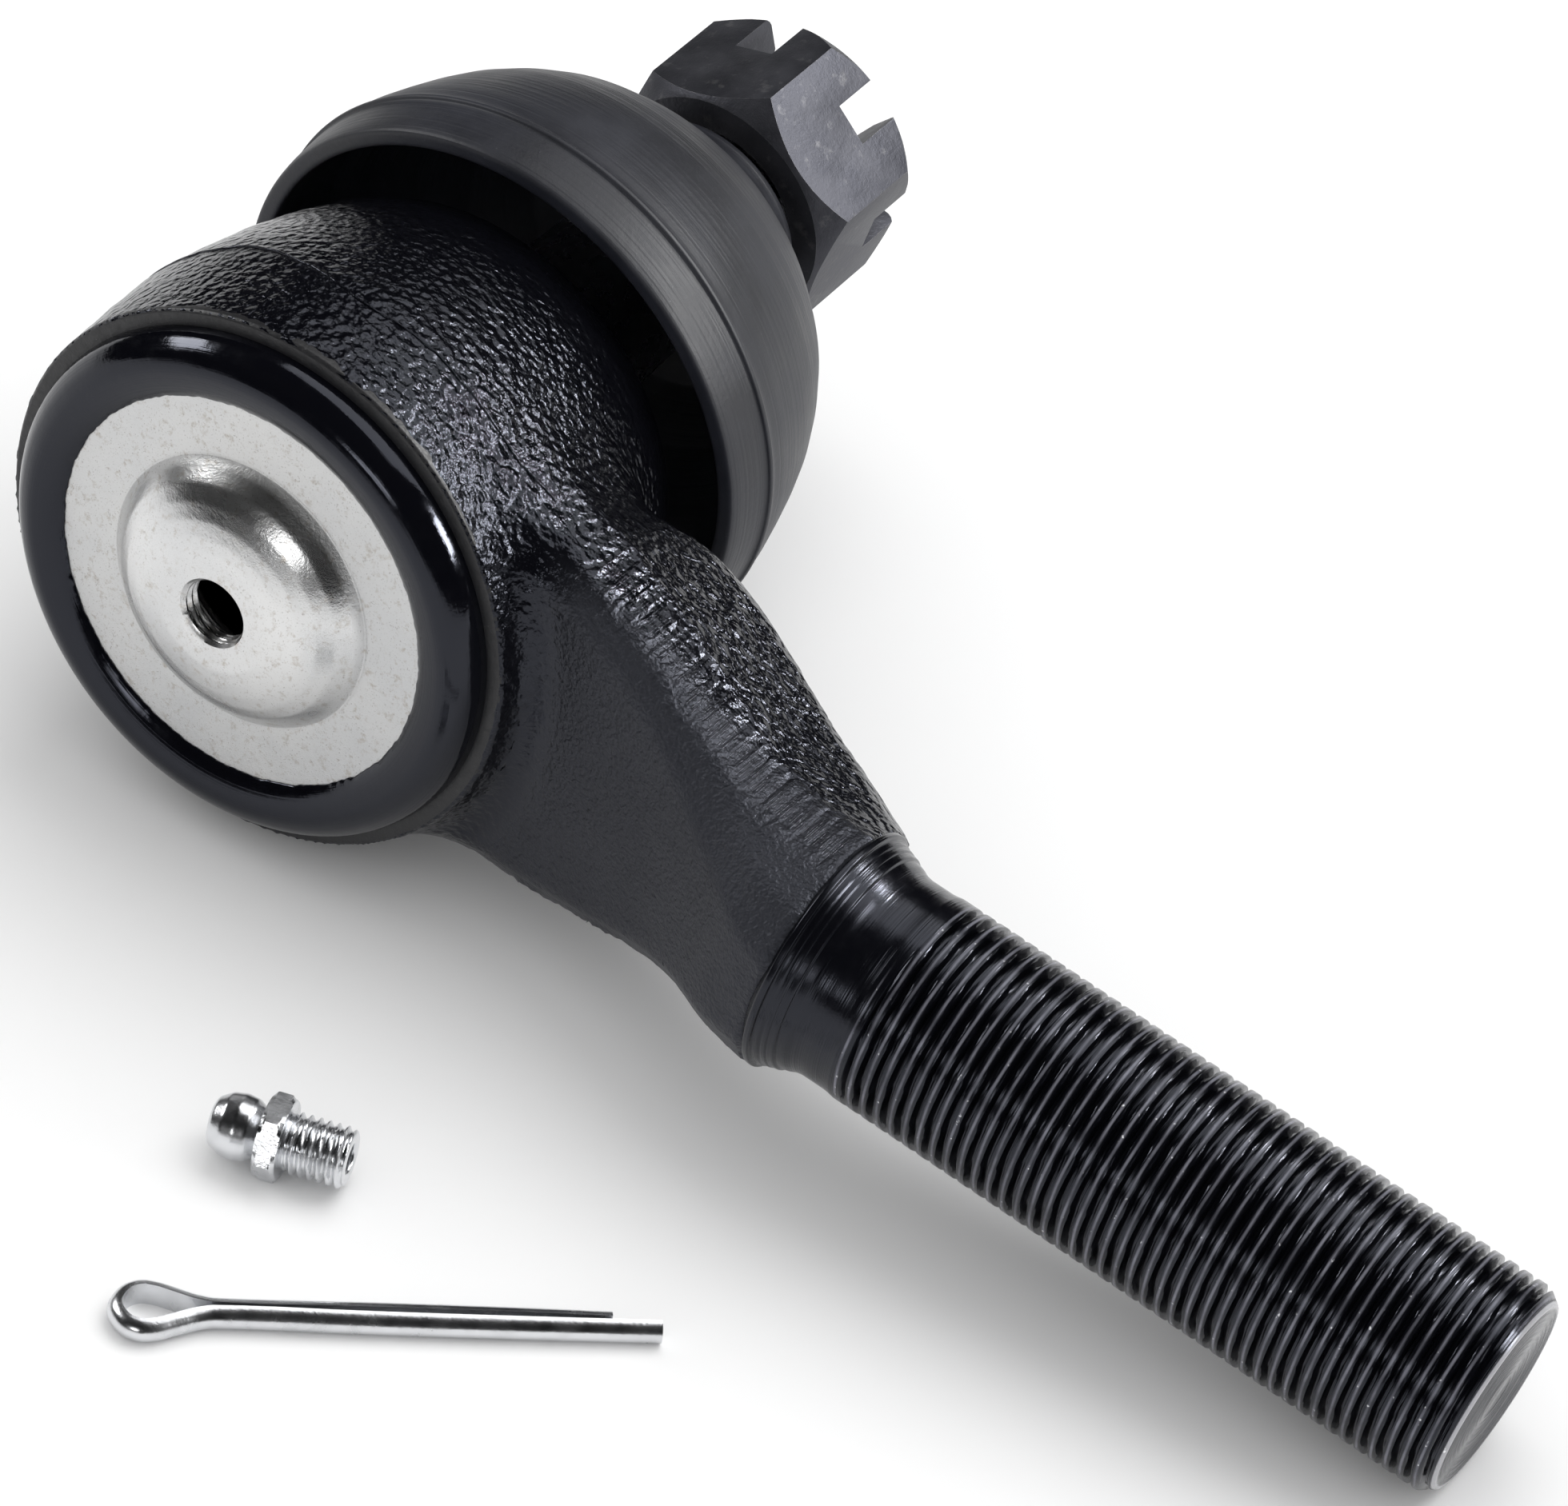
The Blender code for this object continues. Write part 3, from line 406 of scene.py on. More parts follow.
def band_middle(x):
    return eased(x, ARM_STATIONS)[:, 2] + COVER_FACE


def forging_distance(points):
    """Signed distance to the boss and arm, blended by a fillet, with its raised forging marks."""
    boss, arm = boss_distance(points), arm_distance(points)
    blend = np.clip(0.5 + 0.5 * (boss - arm) / FILLET, 0, 1)
    inside = np.hypot(points[:, 0], points[:, 1]) < 24.0
    blend = np.where(inside, (boss > arm).astype(float), blend)
    joined = boss * (1 - blend) + arm * blend - np.where(inside, 0, FILLET * blend * (1 - blend))
    x, y, z = points.T
    half = eased(x, ARM_STATIONS)[:, 0]
    on_side = ramp(np.abs(y) - half + 3.0, 2.0) * ramp(x - 26.0, 6.0)
    trim_low = band_middle(x) - BAND_HALF + 0.5 * wander(x * 1.3, 11, 0.5)
    ridge = 0.42 * np.exp(-(((z - trim_low) / 0.65) ** 2)) * on_side
    lumps = 0.10 * wander(x * 0.9 + z * 0.7, 5, 0.8) * wander(y * 0.8 - z * 0.4, 6, 0.7)
    outer = ramp(np.hypot(x, y) - 24.0, 2.0)
    return joined - ridge - lumps * outer


def forging_seed():
    """Boss ring and arm as overlapping closed shells, for the remesher to join into one skin."""
    ring = refined(BOSS_OUTLINE, 3.0, closed=True)
    rows = revolved(ring, 96)
    xs = np.linspace(ARM_STATIONS[0, 0], ARM_STATIONS[-1, 0], 60)
    ys, zs = arm_outline(xs)
    arm_rows = np.stack([np.repeat(xs[:, None], len(ys), axis=1), np.array(ys).T, np.array(zs).T], axis=2)
    millimetres = Place((0, 0, 0), np.eye(3) / MM)
    boss = ring_object("forging", rows, millimetres, closed=True)
    arm = ring_object("arm_seed", arm_rows, millimetres)
    bm = bmesh.new()
    bm.from_mesh(boss.data)
    bm.from_mesh(arm.data)
    bm.to_mesh(boss.data)
    bm.free()
    bpy.data.objects.remove(arm, do_unlink=True)
    return boss


def apply_modifiers(obj):
    """Give the object the plain mesh that its modifiers make."""
    depsgraph = bpy.context.evaluated_depsgraph_get()
    mesh = bpy.data.meshes.new_from_object(obj.evaluated_get(depsgraph))
    mesh.name = obj.name
    obj.modifiers.clear()
    obj.data = mesh
    return obj


def settle_on(points, distance, rounds=5):
    """Move points onto the surface where a distance is zero."""
    nudge = 0.05
    for _ in range(rounds):
        value = distance(points)
        slope = np.stack([
            (distance(points + nudge * axis) - distance(points - nudge * axis)) / (2 * nudge)
            for axis in np.eye(3)
        ], axis=1)
        size = np.maximum((slope**2).sum(axis=1), 0.25)
        points = points - slope * (np.clip(value, -1.0, 1.0) / size)[:, None]
    return points


# ---------------------------------------------------------------------------------------------
# Shader building
# ---------------------------------------------------------------------------------------------


def fill_socket(tree, socket, value):
    """Link a socket's value to an input, or set it as the input's own."""
    if isinstance(value, bpy.types.NodeSocket):
        tree.links.new(value, socket)
    else:
        socket.default_value = value


def add_node(tree, kind, props=(), **inputs):
    """Add a node, set its properties, and fill its inputs by name (_ for a space) or number (i0)."""
    node = tree.nodes.new(kind)
    for key, value in dict(props).items():
        setattr(node, key, value)
    for key, value in inputs.items():
        numbered = key[0] == "i" and key[1:].isdigit()
        fill_socket(tree, node.inputs[int(key[1:]) if numbered else key.replace("_", " ")], value)
    return node


def maths(tree, operation, first, second, clamp=False):
    """The result of a maths node on two values."""
    props = {"operation": operation, "use_clamp": clamp}
    return add_node(tree, "ShaderNodeMath", props, i0=first, i1=second).outputs[0]


def new_tree(kind, name, inputs, outputs):
    """An empty node tree with its named inputs and outputs, and the sockets they show inside."""
    tree = bpy.data.node_groups.new(name, kind)
    for socket, value_kind, default in inputs:
        made = tree.interface.new_socket(name=socket, in_out="INPUT", socket_type=f"NodeSocket{value_kind}")
        if default is not None:
            made.default_value = default
    for socket, value_kind in outputs:
        tree.interface.new_socket(name=socket, in_out="OUTPUT", socket_type=f"NodeSocket{value_kind}")
    return tree, tree.nodes.new("NodeGroupInput").outputs, tree.nodes.new("NodeGroupOutput").inputs


def surface_grain_tree():
    """Two scales of noise: a height for bumps and a mask of scattered specks."""
    tree, given, made = new_tree("ShaderNodeTree", "surface_grain", (
        ("Vector", "Vector", None), ("Scale", "Float", 900.0), ("Fine Share", "Float", 0.4),
        ("Speck Level", "Float", 0.7), ("Detail", "Float", 3.0),
    ), (("Height", "Float"), ("Specks", "Float")))
    coarse = add_node(
        tree, "ShaderNodeTexNoise", Vector=given["Vector"], Scale=given["Scale"],
        Detail=given["Detail"], Roughness=0.6,
    )
    finer = maths(tree, "MULTIPLY", given["Scale"], 3.3)
    fine = add_node(
        tree, "ShaderNodeTexNoise", Vector=given["Vector"], Scale=finer, Detail=2.0, Roughness=0.7,
    )
    scaled = maths(tree, "MULTIPLY", fine.outputs[0], given["Fine Share"])
    above = maths(tree, "SUBTRACT", fine.outputs[0], given["Speck Level"])
    tree.links.new(maths(tree, "ADD", coarse.outputs[0], scaled), made["Height"])
    tree.links.new(maths(tree, "MULTIPLY", above, 18.0, clamp=True), made["Specks"])


class Surface:
    """A Principled material while it is built, with short calls for the nodes it uses."""

    def __init__(self, name, **sockets):
        self.material = bpy.data.materials.new(name)
        self.material.use_nodes = True
        self.tree = self.material.node_tree
        self.shader = self.tree.nodes["Principled BSDF"]
        for key, value in sockets.items():
            self.shader.inputs[key.replace("_", " ")].default_value = value
        self.spot = self.tree.nodes.new("ShaderNodeTexCoord").outputs["Object"]

    def grain(self, scale, fine_share, speck_level, detail=3.0):
        node = add_node(
            self.tree, "ShaderNodeGroup", {"node_tree": bpy.data.node_groups["surface_grain"]},
            Vector=self.spot, Scale=scale, Fine_Share=fine_share, Speck_Level=speck_level, Detail=detail,
        )
        return node.outputs["Height"], node.outputs["Specks"]

    def noise(self, scale, detail, roughness=0.5):
        return add_node(
            self.tree, "ShaderNodeTexNoise", Vector=self.spot, Scale=scale, Detail=detail,
            Roughness=roughness,
        ).outputs[0]

    def lines(self, scale, detail):
        """Noise along the piece's own "along" attribute, for marks that follow its turning."""
        return add_node(
            self.tree, "ShaderNodeTexNoise", {"noise_dimensions": "1D"}, W=self.kept("along"), Scale=scale,
            Detail=detail,
        ).outputs[0]

    def kept(self, name):
        """A number that the mesh keeps for each vertex."""
        return add_node(self.tree, "ShaderNodeAttribute", {"attribute_name": name}).outputs["Fac"]

    def times(self, first, second, clamp=False):
        return maths(self.tree, "MULTIPLY", first, second, clamp)

    def plus(self, first, second):
        return maths(self.tree, "ADD", first, second)

    def remap(self, value, low, high, to_low=0.0, to_high=1.0):
        return add_node(
            self.tree, "ShaderNodeMapRange", Value=value, From_Min=low, From_Max=high,
            To_Min=to_low, To_Max=to_high,
        ).outputs["Result"]

    def mix(self, factor, first, second):
        node = add_node(self.tree, "ShaderNodeMix", {"data_type": "RGBA"}, i0=factor, i6=first, i7=second)
        return node.outputs[2]

    def bump(self, height, strength, distance):
        node = add_node(self.tree, "ShaderNodeBump", Strength=strength, Distance=distance, Height=height)
        self.tree.links.new(node.outputs[0], self.shader.inputs["Normal"])

    def finished(self, colour, roughness=None):
        self.tree.links.new(colour, self.shader.inputs["Base Color"])
        if roughness is not None:
            self.tree.links.new(roughness, self.shader.inputs["Roughness"])
        return self.material


BLACK = (0.0028, 0.0029, 0.0044, 1.0)
NAVY_SHEEN = (0.80, 0.84, 1.0, 1.0)


def forging_paint():
    """Black paint over a rough forging: glints on its lumps, a satin underside, shear marks on the trim."""
    paint = Surface("forging_paint", Specular_IOR_Level=0.42, Specular_Tint=NAVY_SHEEN)
    lumps, _ = paint.grain(1150.0, 0.12, 0.63, 0.6)
    peel, _ = paint.grain(1900.0, 0.3, 0.66, 1.0)
    satin = paint.kept("satin")
    lumpy = paint.times(lumps, paint.kept("rough_zone"))
    orange = paint.times(peel, paint.plus(paint.times(satin, 0.5), 0.12))
    marked = paint.times(paint.kept("shear"), 0.35)
    paint.bump(paint.plus(paint.plus(lumpy, orange), marked), 1.0, 0.00040)
    glossy = paint.remap(paint.noise(130.0, 3.0), 0.3, 0.7, 0.10, 0.19)
    colour = paint.mix(satin, BLACK, (0.017, 0.0175, 0.021, 1))
    return paint.finished(colour, paint.plus(glossy, paint.times(satin, 0.27)))


def gloss_paint(name, turned_lines, roughness):
    """Smooth black paint over turned metal: fine tool lines, dust specks, chipped crests, and crests made lighter
    partly as rubbed paint and partly as a painted highlight.
    """
    paint = Surface(name, Specular_IOR_Level=0.42, Specular_Tint=NAVY_SHEEN)
    skin, _ = paint.grain(600.0, 0.2, 0.7)
    _, chips = paint.grain(420.0, 0.6, 0.675)
    edge = paint.kept("crest")
    lined = paint.times(paint.lines(5.5, 3.0), turned_lines)
    paint.bump(paint.plus(paint.times(skin, 0.22), lined), 0.5, 0.0002)
    # Crests made lighter in colour: partly paint rubbed thin, partly a painted highlight along the thread.
    rubbed_and_highlight = paint.times(paint.remap(paint.noise(260.0, 3.0), 0.35, 0.65, 0.35, 1.0), edge)
    sheen = paint.mix(rubbed_and_highlight, BLACK, (0.17, 0.17, 0.20, 1))
    chipped = paint.mix(paint.times(chips, edge, clamp=True), sheen, (0.75, 0.75, 0.77, 1))
    colour = paint.mix(paint.kept("bare_end"), chipped, (0.86, 0.86, 0.87, 1))
    return paint.finished(colour, paint.remap(skin, 0.4, 0.9, roughness, roughness + 0.14))


def satin_paint():
    """Thin satin paint over the machined step beside the lip."""
    paint = Surface("satin_paint", Specular_IOR_Level=0.5)
    skin, specks = paint.grain(1500.0, 0.4, 0.68)
    paint.bump(skin, 0.35, 0.00015)
    colour = paint.mix(specks, (0.012, 0.012, 0.014, 1), (0.06, 0.06, 0.06, 1))
    return paint.finished(colour, paint.remap(skin, 0.4, 0.9, 0.3, 0.5))


def zinc_plate():
    """Dull zinc on a stamping: fine frosty grain with tan stains, and a smoother drawn crown."""
    zinc = Surface("zinc_frost", Metallic=1.0)
    frost, freckles = zinc.grain(1500.0, 0.6, 0.62)
    stained = zinc.remap(zinc.noise(950.0, 4.0, 0.7), 0.55, 0.70)
    cloudy = zinc.noise(90.0, 3.0)
    crown = zinc.kept("crown")
    zinc.bump(zinc.times(frost, zinc.remap(crown, 0.0, 1.0, 1.0, 0.35)), 0.5, 0.00012)
    base = zinc.mix(zinc.remap(cloudy, 0.35, 0.65), (0.66, 0.665, 0.67, 1), (0.76, 0.76, 0.755, 1))
    tan = zinc.mix(zinc.times(stained, 0.55), base, (0.42, 0.37, 0.31, 1))
    colour = zinc.mix(zinc.times(freckles, 0.45), tan, (0.22, 0.19, 0.17, 1))
    smooth = zinc.remap(crown, 0.0, 1.0, 0.5, 0.26)
    return zinc.finished(colour, zinc.plus(smooth, zinc.remap(cloudy, 0.3, 0.7, -0.04, 0.06)))


def boot_rubber():
    """Moulded rubber with a faint bloom, flow marks along its rings and a little dust."""
    rubber = Surface("boot_rubber_skin", Specular_IOR_Level=0.45)
    skin, dust = rubber.grain(1100.0, 0.5, 0.71)
    cloudy = rubber.noise(85.0, 4.0, 0.6)
    rubber.bump(rubber.plus(rubber.times(skin, 0.5), rubber.lines(1.6, 4.0)), 0.25, 0.00025)
    faded = rubber.remap(cloudy, 0.35, 0.7)
    bloom = rubber.mix(faded, (0.010, 0.011, 0.017, 1), (0.021, 0.023, 0.034, 1))
    colour = rubber.mix(rubber.times(dust, 0.5), bloom, (0.12, 0.12, 0.14, 1))
    return rubber.finished(colour, rubber.remap(cloudy, 0.3, 0.7, 0.40, 0.55))


def phosphate(name, dark, pale, worn_share):
    """Dark phosphate on the nut, more or less rubbed through to bright steel."""
    metal = Surface(name, Metallic=0.75)
    skin, specks = metal.grain(1300.0, 0.5, 0.70)
    cloudy = metal.noise(160.0, 4.0)
    metal.bump(skin, 0.35, 0.00014)
    base = metal.mix(metal.remap(cloudy, 0.35, 0.7), dark, pale)
    specked = metal.mix(metal.times(specks, 0.15), base, (0.30, 0.30, 0.31, 1))
    worn = metal.remap(metal.noise(520.0, 5.0, 0.65), 0.62 - 0.3 * worn_share, 0.72 - 0.2 * worn_share)
    colour = metal.mix(metal.times(worn, worn_share), specked, (0.46, 0.45, 0.44, 1))
    return metal.finished(colour, metal.remap(cloudy, 0.3, 0.7, 0.42, 0.55))


def bare_metal(name, colour, roughness, stain=0.3):
    """Clean turned or drawn metal with fine tool marks and slight staining."""
    metal = Surface(name, Metallic=1.0)
    skin, _ = metal.grain(1200.0, 0.5, 0.69)
    cloudy = metal.noise(300.0, 4.0)
    metal.bump(skin, 0.25, 0.00008)
    dark = tuple(0.6 * value for value in colour)
    clouded = metal.mix(metal.remap(cloudy, 0.45, 0.8, 0.0, stain), (*colour, 1.0), (*dark, 1.0))
    return metal.finished(clouded, metal.remap(cloudy, 0.3, 0.7, roughness, roughness + 0.12))


MATERIALS = {}


def build_materials():
    surface_grain_tree()
    MATERIALS.update({
        "forging": forging_paint(),
        "lip": gloss_paint("lip_gloss", 0.12, 0.06),
        "shank": gloss_paint("shank_gloss", 0.5, 0.14),
        "step": satin_paint(),
        "zinc": zinc_plate(),
        "rubber": boot_rubber(),
        "phosphate": phosphate("nut_phosphate", (0.040, 0.041, 0.050, 1), (0.075, 0.076, 0.088, 1), 0.12),
        "rubbed_edge": phosphate("nut_rubbed_edge", (0.22, 0.22, 0.24, 1), (0.42, 0.42, 0.44, 1), 0.9),
        "stud": bare_metal("stud_turned", (0.62, 0.62, 0.63), 0.22),
        "bearing": bare_metal("bearing_ground", (0.45, 0.44, 0.42), 0.25),
        "spring": bare_metal("spring_wire", (0.30, 0.30, 0.32), 0.3),
        "bright": bare_metal("bright_plating", (0.72, 0.73, 0.75), 0.18, 0.5),
    })


# ---------------------------------------------------------------------------------------------
# Geometry nodes
# ---------------------------------------------------------------------------------------------


def give_out(tree, geometry, finish, made):
    """Make instances real, dress them in the finish and send them out."""
    real = add_node(tree, "GeometryNodeRealizeInstances", Geometry=geometry)
    dressed = add_node(tree, "GeometryNodeSetMaterial", Geometry=real.outputs[0], Material=finish)
    tree.links.new(dressed.outputs[0], made[0])


def swept_wire_tree():
    """A round wire along a curve, with its radius and roundness as inputs."""
    tree, given, made = new_tree("GeometryNodeTree", "swept_wire", (
        ("Path", "Geometry", None), ("Wire Radius", "Float", 0.001), ("Sides", "Int", 12),
        ("Finish", "Material", None),
    ), (("Wire", "Geometry"),))
    path = add_node(tree, "GeometryNodeMeshToCurve", Mesh=given["Path"]).outputs[0]
    circle = add_node(
        tree, "GeometryNodeCurvePrimitiveCircle", Radius=given["Wire Radius"], Resolution=given["Sides"],
    ).outputs[0]
    sweep = add_node(tree, "GeometryNodeCurveToMesh", Curve=path, Profile_Curve=circle, Fill_Caps=True)
    give_out(tree, sweep.outputs[0], given["Finish"], made)


def shear_mark_tree():
    """Short raised marks stood on points, each turned and sized by the points' own attributes."""
    tree, given, made = new_tree("GeometryNodeTree", "shear_marks", (
        ("Points", "Geometry", None), ("Mark Length", "Float", 0.005), ("Mark Width", "Float", 0.0004),
        ("Seed", "Int", 4), ("Finish", "Material", None),
    ), (("Marks", "Geometry"),))
    bar = add_node(tree, "GeometryNodeMeshUVSphere", Segments=8, Rings=6, Radius=1.0)
    depth = maths(tree, "MULTIPLY", given["Mark Width"], 0.5)
    size = add_node(tree, "ShaderNodeCombineXYZ", X=given["Mark Width"], Y=depth, Z=given["Mark Length"])
    shaped = add_node(tree, "GeometryNodeTransform", Geometry=bar.outputs[0], Scale=size.outputs[0])
    turn = add_node(tree, "GeometryNodeInputNamedAttribute", {"data_type": "FLOAT_VECTOR"}, Name="turn")
    vary = add_node(
        tree, "FunctionNodeRandomValue", {"data_type": "FLOAT"}, i2=0.45, i3=1.1, Seed=given["Seed"])
    stood = add_node(
        tree, "GeometryNodeInstanceOnPoints", Points=given["Points"], Instance=shaped.outputs[0],
        Rotation=turn.outputs["Attribute"], Scale=vary.outputs[1],
    )
    give_out(tree, stood.outputs[0], given["Finish"], made)


def run_nodes(obj, name, **inputs):
    """Run a geometry tree on an object, and keep the result as its plain mesh."""
    tree = bpy.data.node_groups[name]
    modifier = obj.modifiers.new(tree.name, "NODES")
    modifier.node_group = tree
    sockets = [item for item in tree.interface.items_tree if item.item_type == "SOCKET"]
    identifiers = {socket.name: socket.identifier for socket in sockets}
    for key, value in inputs.items():
        modifier[identifiers[key.replace("_", " ")]] = value
    bpy.context.view_layer.update()
    return apply_modifiers(obj)


def path_object(name, points, place, closed=False):
    """A chain of edges through points given in a piece's own millimetres."""
    mesh = bpy.data.meshes.new(name)
    count = len(points)
    edges = [(index, (index + 1) % count) for index in range(count if closed else count - 1)]
    mesh.from_pydata([tuple(point) for point in place.row(points)], edges, [])
    return link_object(name, mesh)


# ---------------------------------------------------------------------------------------------
# Pieces
# ---------------------------------------------------------------------------------------------


class HousingSizes(bpy.types.PropertyGroup):
    """Sizes of the painted housing."""

    skin_cell: bpy.props.FloatProperty(
        name="Skin Cell", description="Size of the cells in the forging's skin", default=0.5 * MM,
        min=0.3 * MM, max=2.0 * MM, unit="LENGTH")
    shank_pitch: bpy.props.FloatProperty(
        name="Shank Pitch", description="Distance between the shank's thread crests", default=1.5875 * MM,
        unit="LENGTH")
    shank_radius: bpy.props.FloatProperty(
        name="Shank Radius", description="Outside radius of the shank's thread", default=11.11 * MM,
        unit="LENGTH")


class StageSettings(bpy.types.PropertyGroup):
    """Floor, light and camera."""

    floor_colour: bpy.props.FloatVectorProperty(
        name="Floor Colour", description="Colour of the floor", default=(0.93, 0.93, 0.93), subtype="COLOR")
    lens: bpy.props.FloatProperty(
        name="Lens", description="Focal length of the camera", default=168.0, unit="CAMERA")


class TIEROD_OT_forging(bpy.types.Operator):
    """Build the boss and arm, their parting line and the trim's shear marks"""

    bl_idname = "tierod.forging"
    bl_label = "Forging"

    def execute(self, context):
        forging = forging_seed()
        remesh = forging.modifiers.new("skin", "REMESH")
        remesh.mode = "VOXEL"
        remesh.voxel_size = context.scene.tierod_housing.skin_cell / MM
        apply_modifiers(forging)
        points = settle_on(positions(forging), forging_distance)
        self.mark_zones(forging, points)
        set_positions(forging, HOUSING.row(points))
        forging.data.shade_smooth()
        finish_piece(forging, MATERIALS["forging"], "housing_body", ("housing",))

        turns = np.radians(np.linspace(-152.0, -34.0, 240))
        line = np.stack([29.4 * np.cos(turns), 29.4 * np.sin(turns), parting_height(turns)], axis=1)
        flash = path_object("parting_flash", settle_on(line, forging_distance), HOUSING)
        run_nodes(flash, "swept_wire", Wire_Radius=0.16 * MM, Sides=8, Finish=MATERIALS["forging"])
        finish_piece(flash, MATERIALS["forging"], "housing_body")

        self.add_shear_marks()
        return {"FINISHED"}

    def mark_zones(self, forging, points):
        """Keep on the skin where it is rough, where it is satin and where the trim sheared it."""
        x, y, z = points.T
        radius = np.hypot(x, y)
        half = eased(x, ARM_STATIONS)[:, 0]
        on_band = ramp(np.abs(y) - half + 1.2, 0.6) * ramp(x - 27, 4)
        on_band *= np.clip((BAND_HALF + 0.6 - np.abs(z - band_middle(x))) / 0.6, 0, 1)
        under = ramp(-z + COVER_FACE + 9.0, 3.0) * ramp(radius - 32, 4)
        side = ramp(x - 22, 8) * ramp(np.abs(y) - half + 6, 3)
        boss_side = ramp(radius - 26, 2) * (1 - ramp(x - 24, 6))
        rough = np.clip(0.35 + 0.65 * np.maximum(side, boss_side) - 0.6 * on_band, 0, 1)
        shear_lines = np.sin(x * 9.0 + 1.5 * wander(x, 21, 2.0)) * (0.6 + 0.4 * wander(x * 2.0, 22, 3.0))
        store(forging, "rough_zone", rough * (1 - 0.85 * under))
        store(forging, "satin", under)
        store(forging, "shear", shear_lines * on_band)

    def add_shear_marks(self):
        """Stand the marks on both trimmed edges of the arm."""
        generator = np.random.default_rng(8)
        spots = []
        for sign in (-1.0, 1.0):
            xs = np.linspace(31.0, 65.0, 120) + generator.uniform(-0.1, 0.1, 120)
            half = eased(xs, ARM_STATIONS)[:, 0]
            heights = band_middle(xs) + generator.uniform(-0.5, 0.5, xs.size)
            spots.append(settle_on(np.stack([xs, sign * half, heights], axis=1), forging_distance))
        points = HOUSING.row(np.vstack(spots))
        mesh = bpy.data.meshes.new("shear_marks")
        mesh.from_pydata([tuple(point) for point in points], [], [])
        marks = link_object("shear_marks", mesh)
        turn = Matrix([list(row) for row in HOUSING_BASIS]).to_euler()
        kept = mesh.attributes.new("turn", "FLOAT_VECTOR", "POINT")
        kept.data.foreach_set("vector", np.tile(np.array(turn, np.float32), len(points)))
        run_nodes(
            marks, "shear_marks", Mark_Length=2.4 * MM, Mark_Width=0.075 * MM, Seed=4,
            Finish=MATERIALS["forging"])
        marks.data.shade_smooth()
        finish_piece(marks, MATERIALS["forging"], "housing_body")


LIP_INNER, LIP_OUTER = 20.9, 27.2


class TIEROD_OT_lip(bpy.types.Operator):
    """Build the rolled lip that holds the cover plate, and the machined step outside it"""

    bl_idname = "tierod.lip"
    bl_label = "Rolled Lip"

    def execute(self, context):
        outline = softened([
            (LIP_OUTER, STEP_FACE + 1.6), (LIP_OUTER, STEP_FACE - 0.6), (LIP_OUTER - 0.35, COVER_FACE + 0.4),
            (LIP_OUTER - 1.5, COVER_FACE - 0.9), (LIP_OUTER - 2.9, COVER_FACE - 1.45),
            (LIP_INNER + 2.0, COVER_FACE - 1.2), (LIP_INNER + 0.8, COVER_FACE - 0.75),
            (LIP_INNER, COVER_FACE - 0.15), (LIP_INNER, COVER_FACE), (LIP_INNER + 1.6, COVER_FACE + 0.02),
            (LIP_INNER + 2.4, STEP_FACE + 1.6),
        ], reach=0.7, steps=4, closed=True)
        rows = revolved(refined(outline, 0.3, closed=True), 360)
        radius, angle = polar(rows)
        inner = ramp(LIP_INNER + 0.5 - radius, 0.5)
        ragged = 0.08 * wander(angle * 31, 2, 1.0, 5) + 0.05 * wander(angle * 97, 9, 1.0, 3)
        widen(rows, (radius + inner * ragged) / radius)
        lip = ring_object("rolled_lip", rows, HOUSING, closed=True, smooth_angle=60)
        distance, _ = polar(HOUSING.local(positions(lip)))
        store(lip, "crest", np.zeros(len(distance)))
        store(lip, "bare_end", np.zeros(len(distance)))
        store(lip, "along", distance)
        finish_piece(lip, MATERIALS["lip"], "housing_body")

        step_outline = softened([
            (26.6, STEP_FACE), (28.55, STEP_FACE), (28.85, STEP_FACE + 0.35), (28.85, STEP_FACE + 1.4),
            (26.6, STEP_FACE + 1.4),
        ], reach=0.15, closed=True)
        step = ring_object("machined_step", revolved(step_outline, 240), HOUSING, closed=True)
        finish_piece(step, MATERIALS["step"], "housing_body")
        return {"FINISHED"}


THREAD_START, SHANK_END = 75.6, 143.0
FACING_PITCH, FACING_DEPTH = 0.36, 0.10


class TIEROD_OT_shank(bpy.types.Operator):
    """Turn the collar, the relief, the long thread and the faced end"""

    bl_idname = "tierod.shank"
    bl_label = "Shank"

    def execute(self, context):
        sizes = context.scene.tierod_housing
        outside, pitch = sizes.shank_radius / MM, sizes.shank_pitch / MM
        facing_rings = [
            (radius, SHANK_END - FACING_DEPTH * (step % 2))
            for step, radius in enumerate(np.arange(9.7, 2.0, -FACING_PITCH))
        ]
        outline = softened([
            (8.0, 61.0), (10.2, 65.0), (12.5, 66.6), (12.9, 66.9), (12.9, 67.5), (12.45, 67.6), (12.35, 68.2),
            (12.2, 68.3), (12.1, 68.9), (11.95, 69.0), (11.85, 69.7), (11.6, 69.8), (11.4, 70.6),
            (11.1, 71.2), (10.95, 72.0), (10.95, 74.6), (11.02, 75.2), (outside, THREAD_START),
            (outside, SHANK_END - 1.5), (10.05, SHANK_END - 0.05), *facing_rings,
            (0.4, SHANK_END - FACING_DEPTH),
        ], reach=0.12, steps=2)
        rows = threaded_rows(outline, 72, pitch, outside - 0.95, THREAD_START, SHANK_END - 0.2)
        shank = ring_object("threaded_shank", rows, SHANK, smooth_angle=50)
        local = SHANK.local(positions(shank))
        distance, angle = polar(local)
        along = local[:, 2]
        # The crest mask lightens the paint along the thread crests, partly as rubbed paint and partly as a painted
        # highlight. It also marks the chipped rim.
        on_crest = ramp(thread_height(along, angle, pitch) - 0.85, 0.15)
        on_crest *= (along > THREAD_START + 0.4) * (distance > 10.4)
        chipped_rim = (along > SHANK_END - 0.3) * (distance < 10.3) * ramp(distance - 9.5, 0.3)
        store(shank, "crest", np.maximum(on_crest, chipped_rim))
        store(shank, "bare_end", 0.35 * chipped_rim)
        store(shank, "along", np.where(along > SHANK_END - 0.4, distance * 1.2, along))
        finish_piece(shank, MATERIALS["shank"], "housing_body")
        return {"FINISHED"}


FITTING_PITCH = 0.907


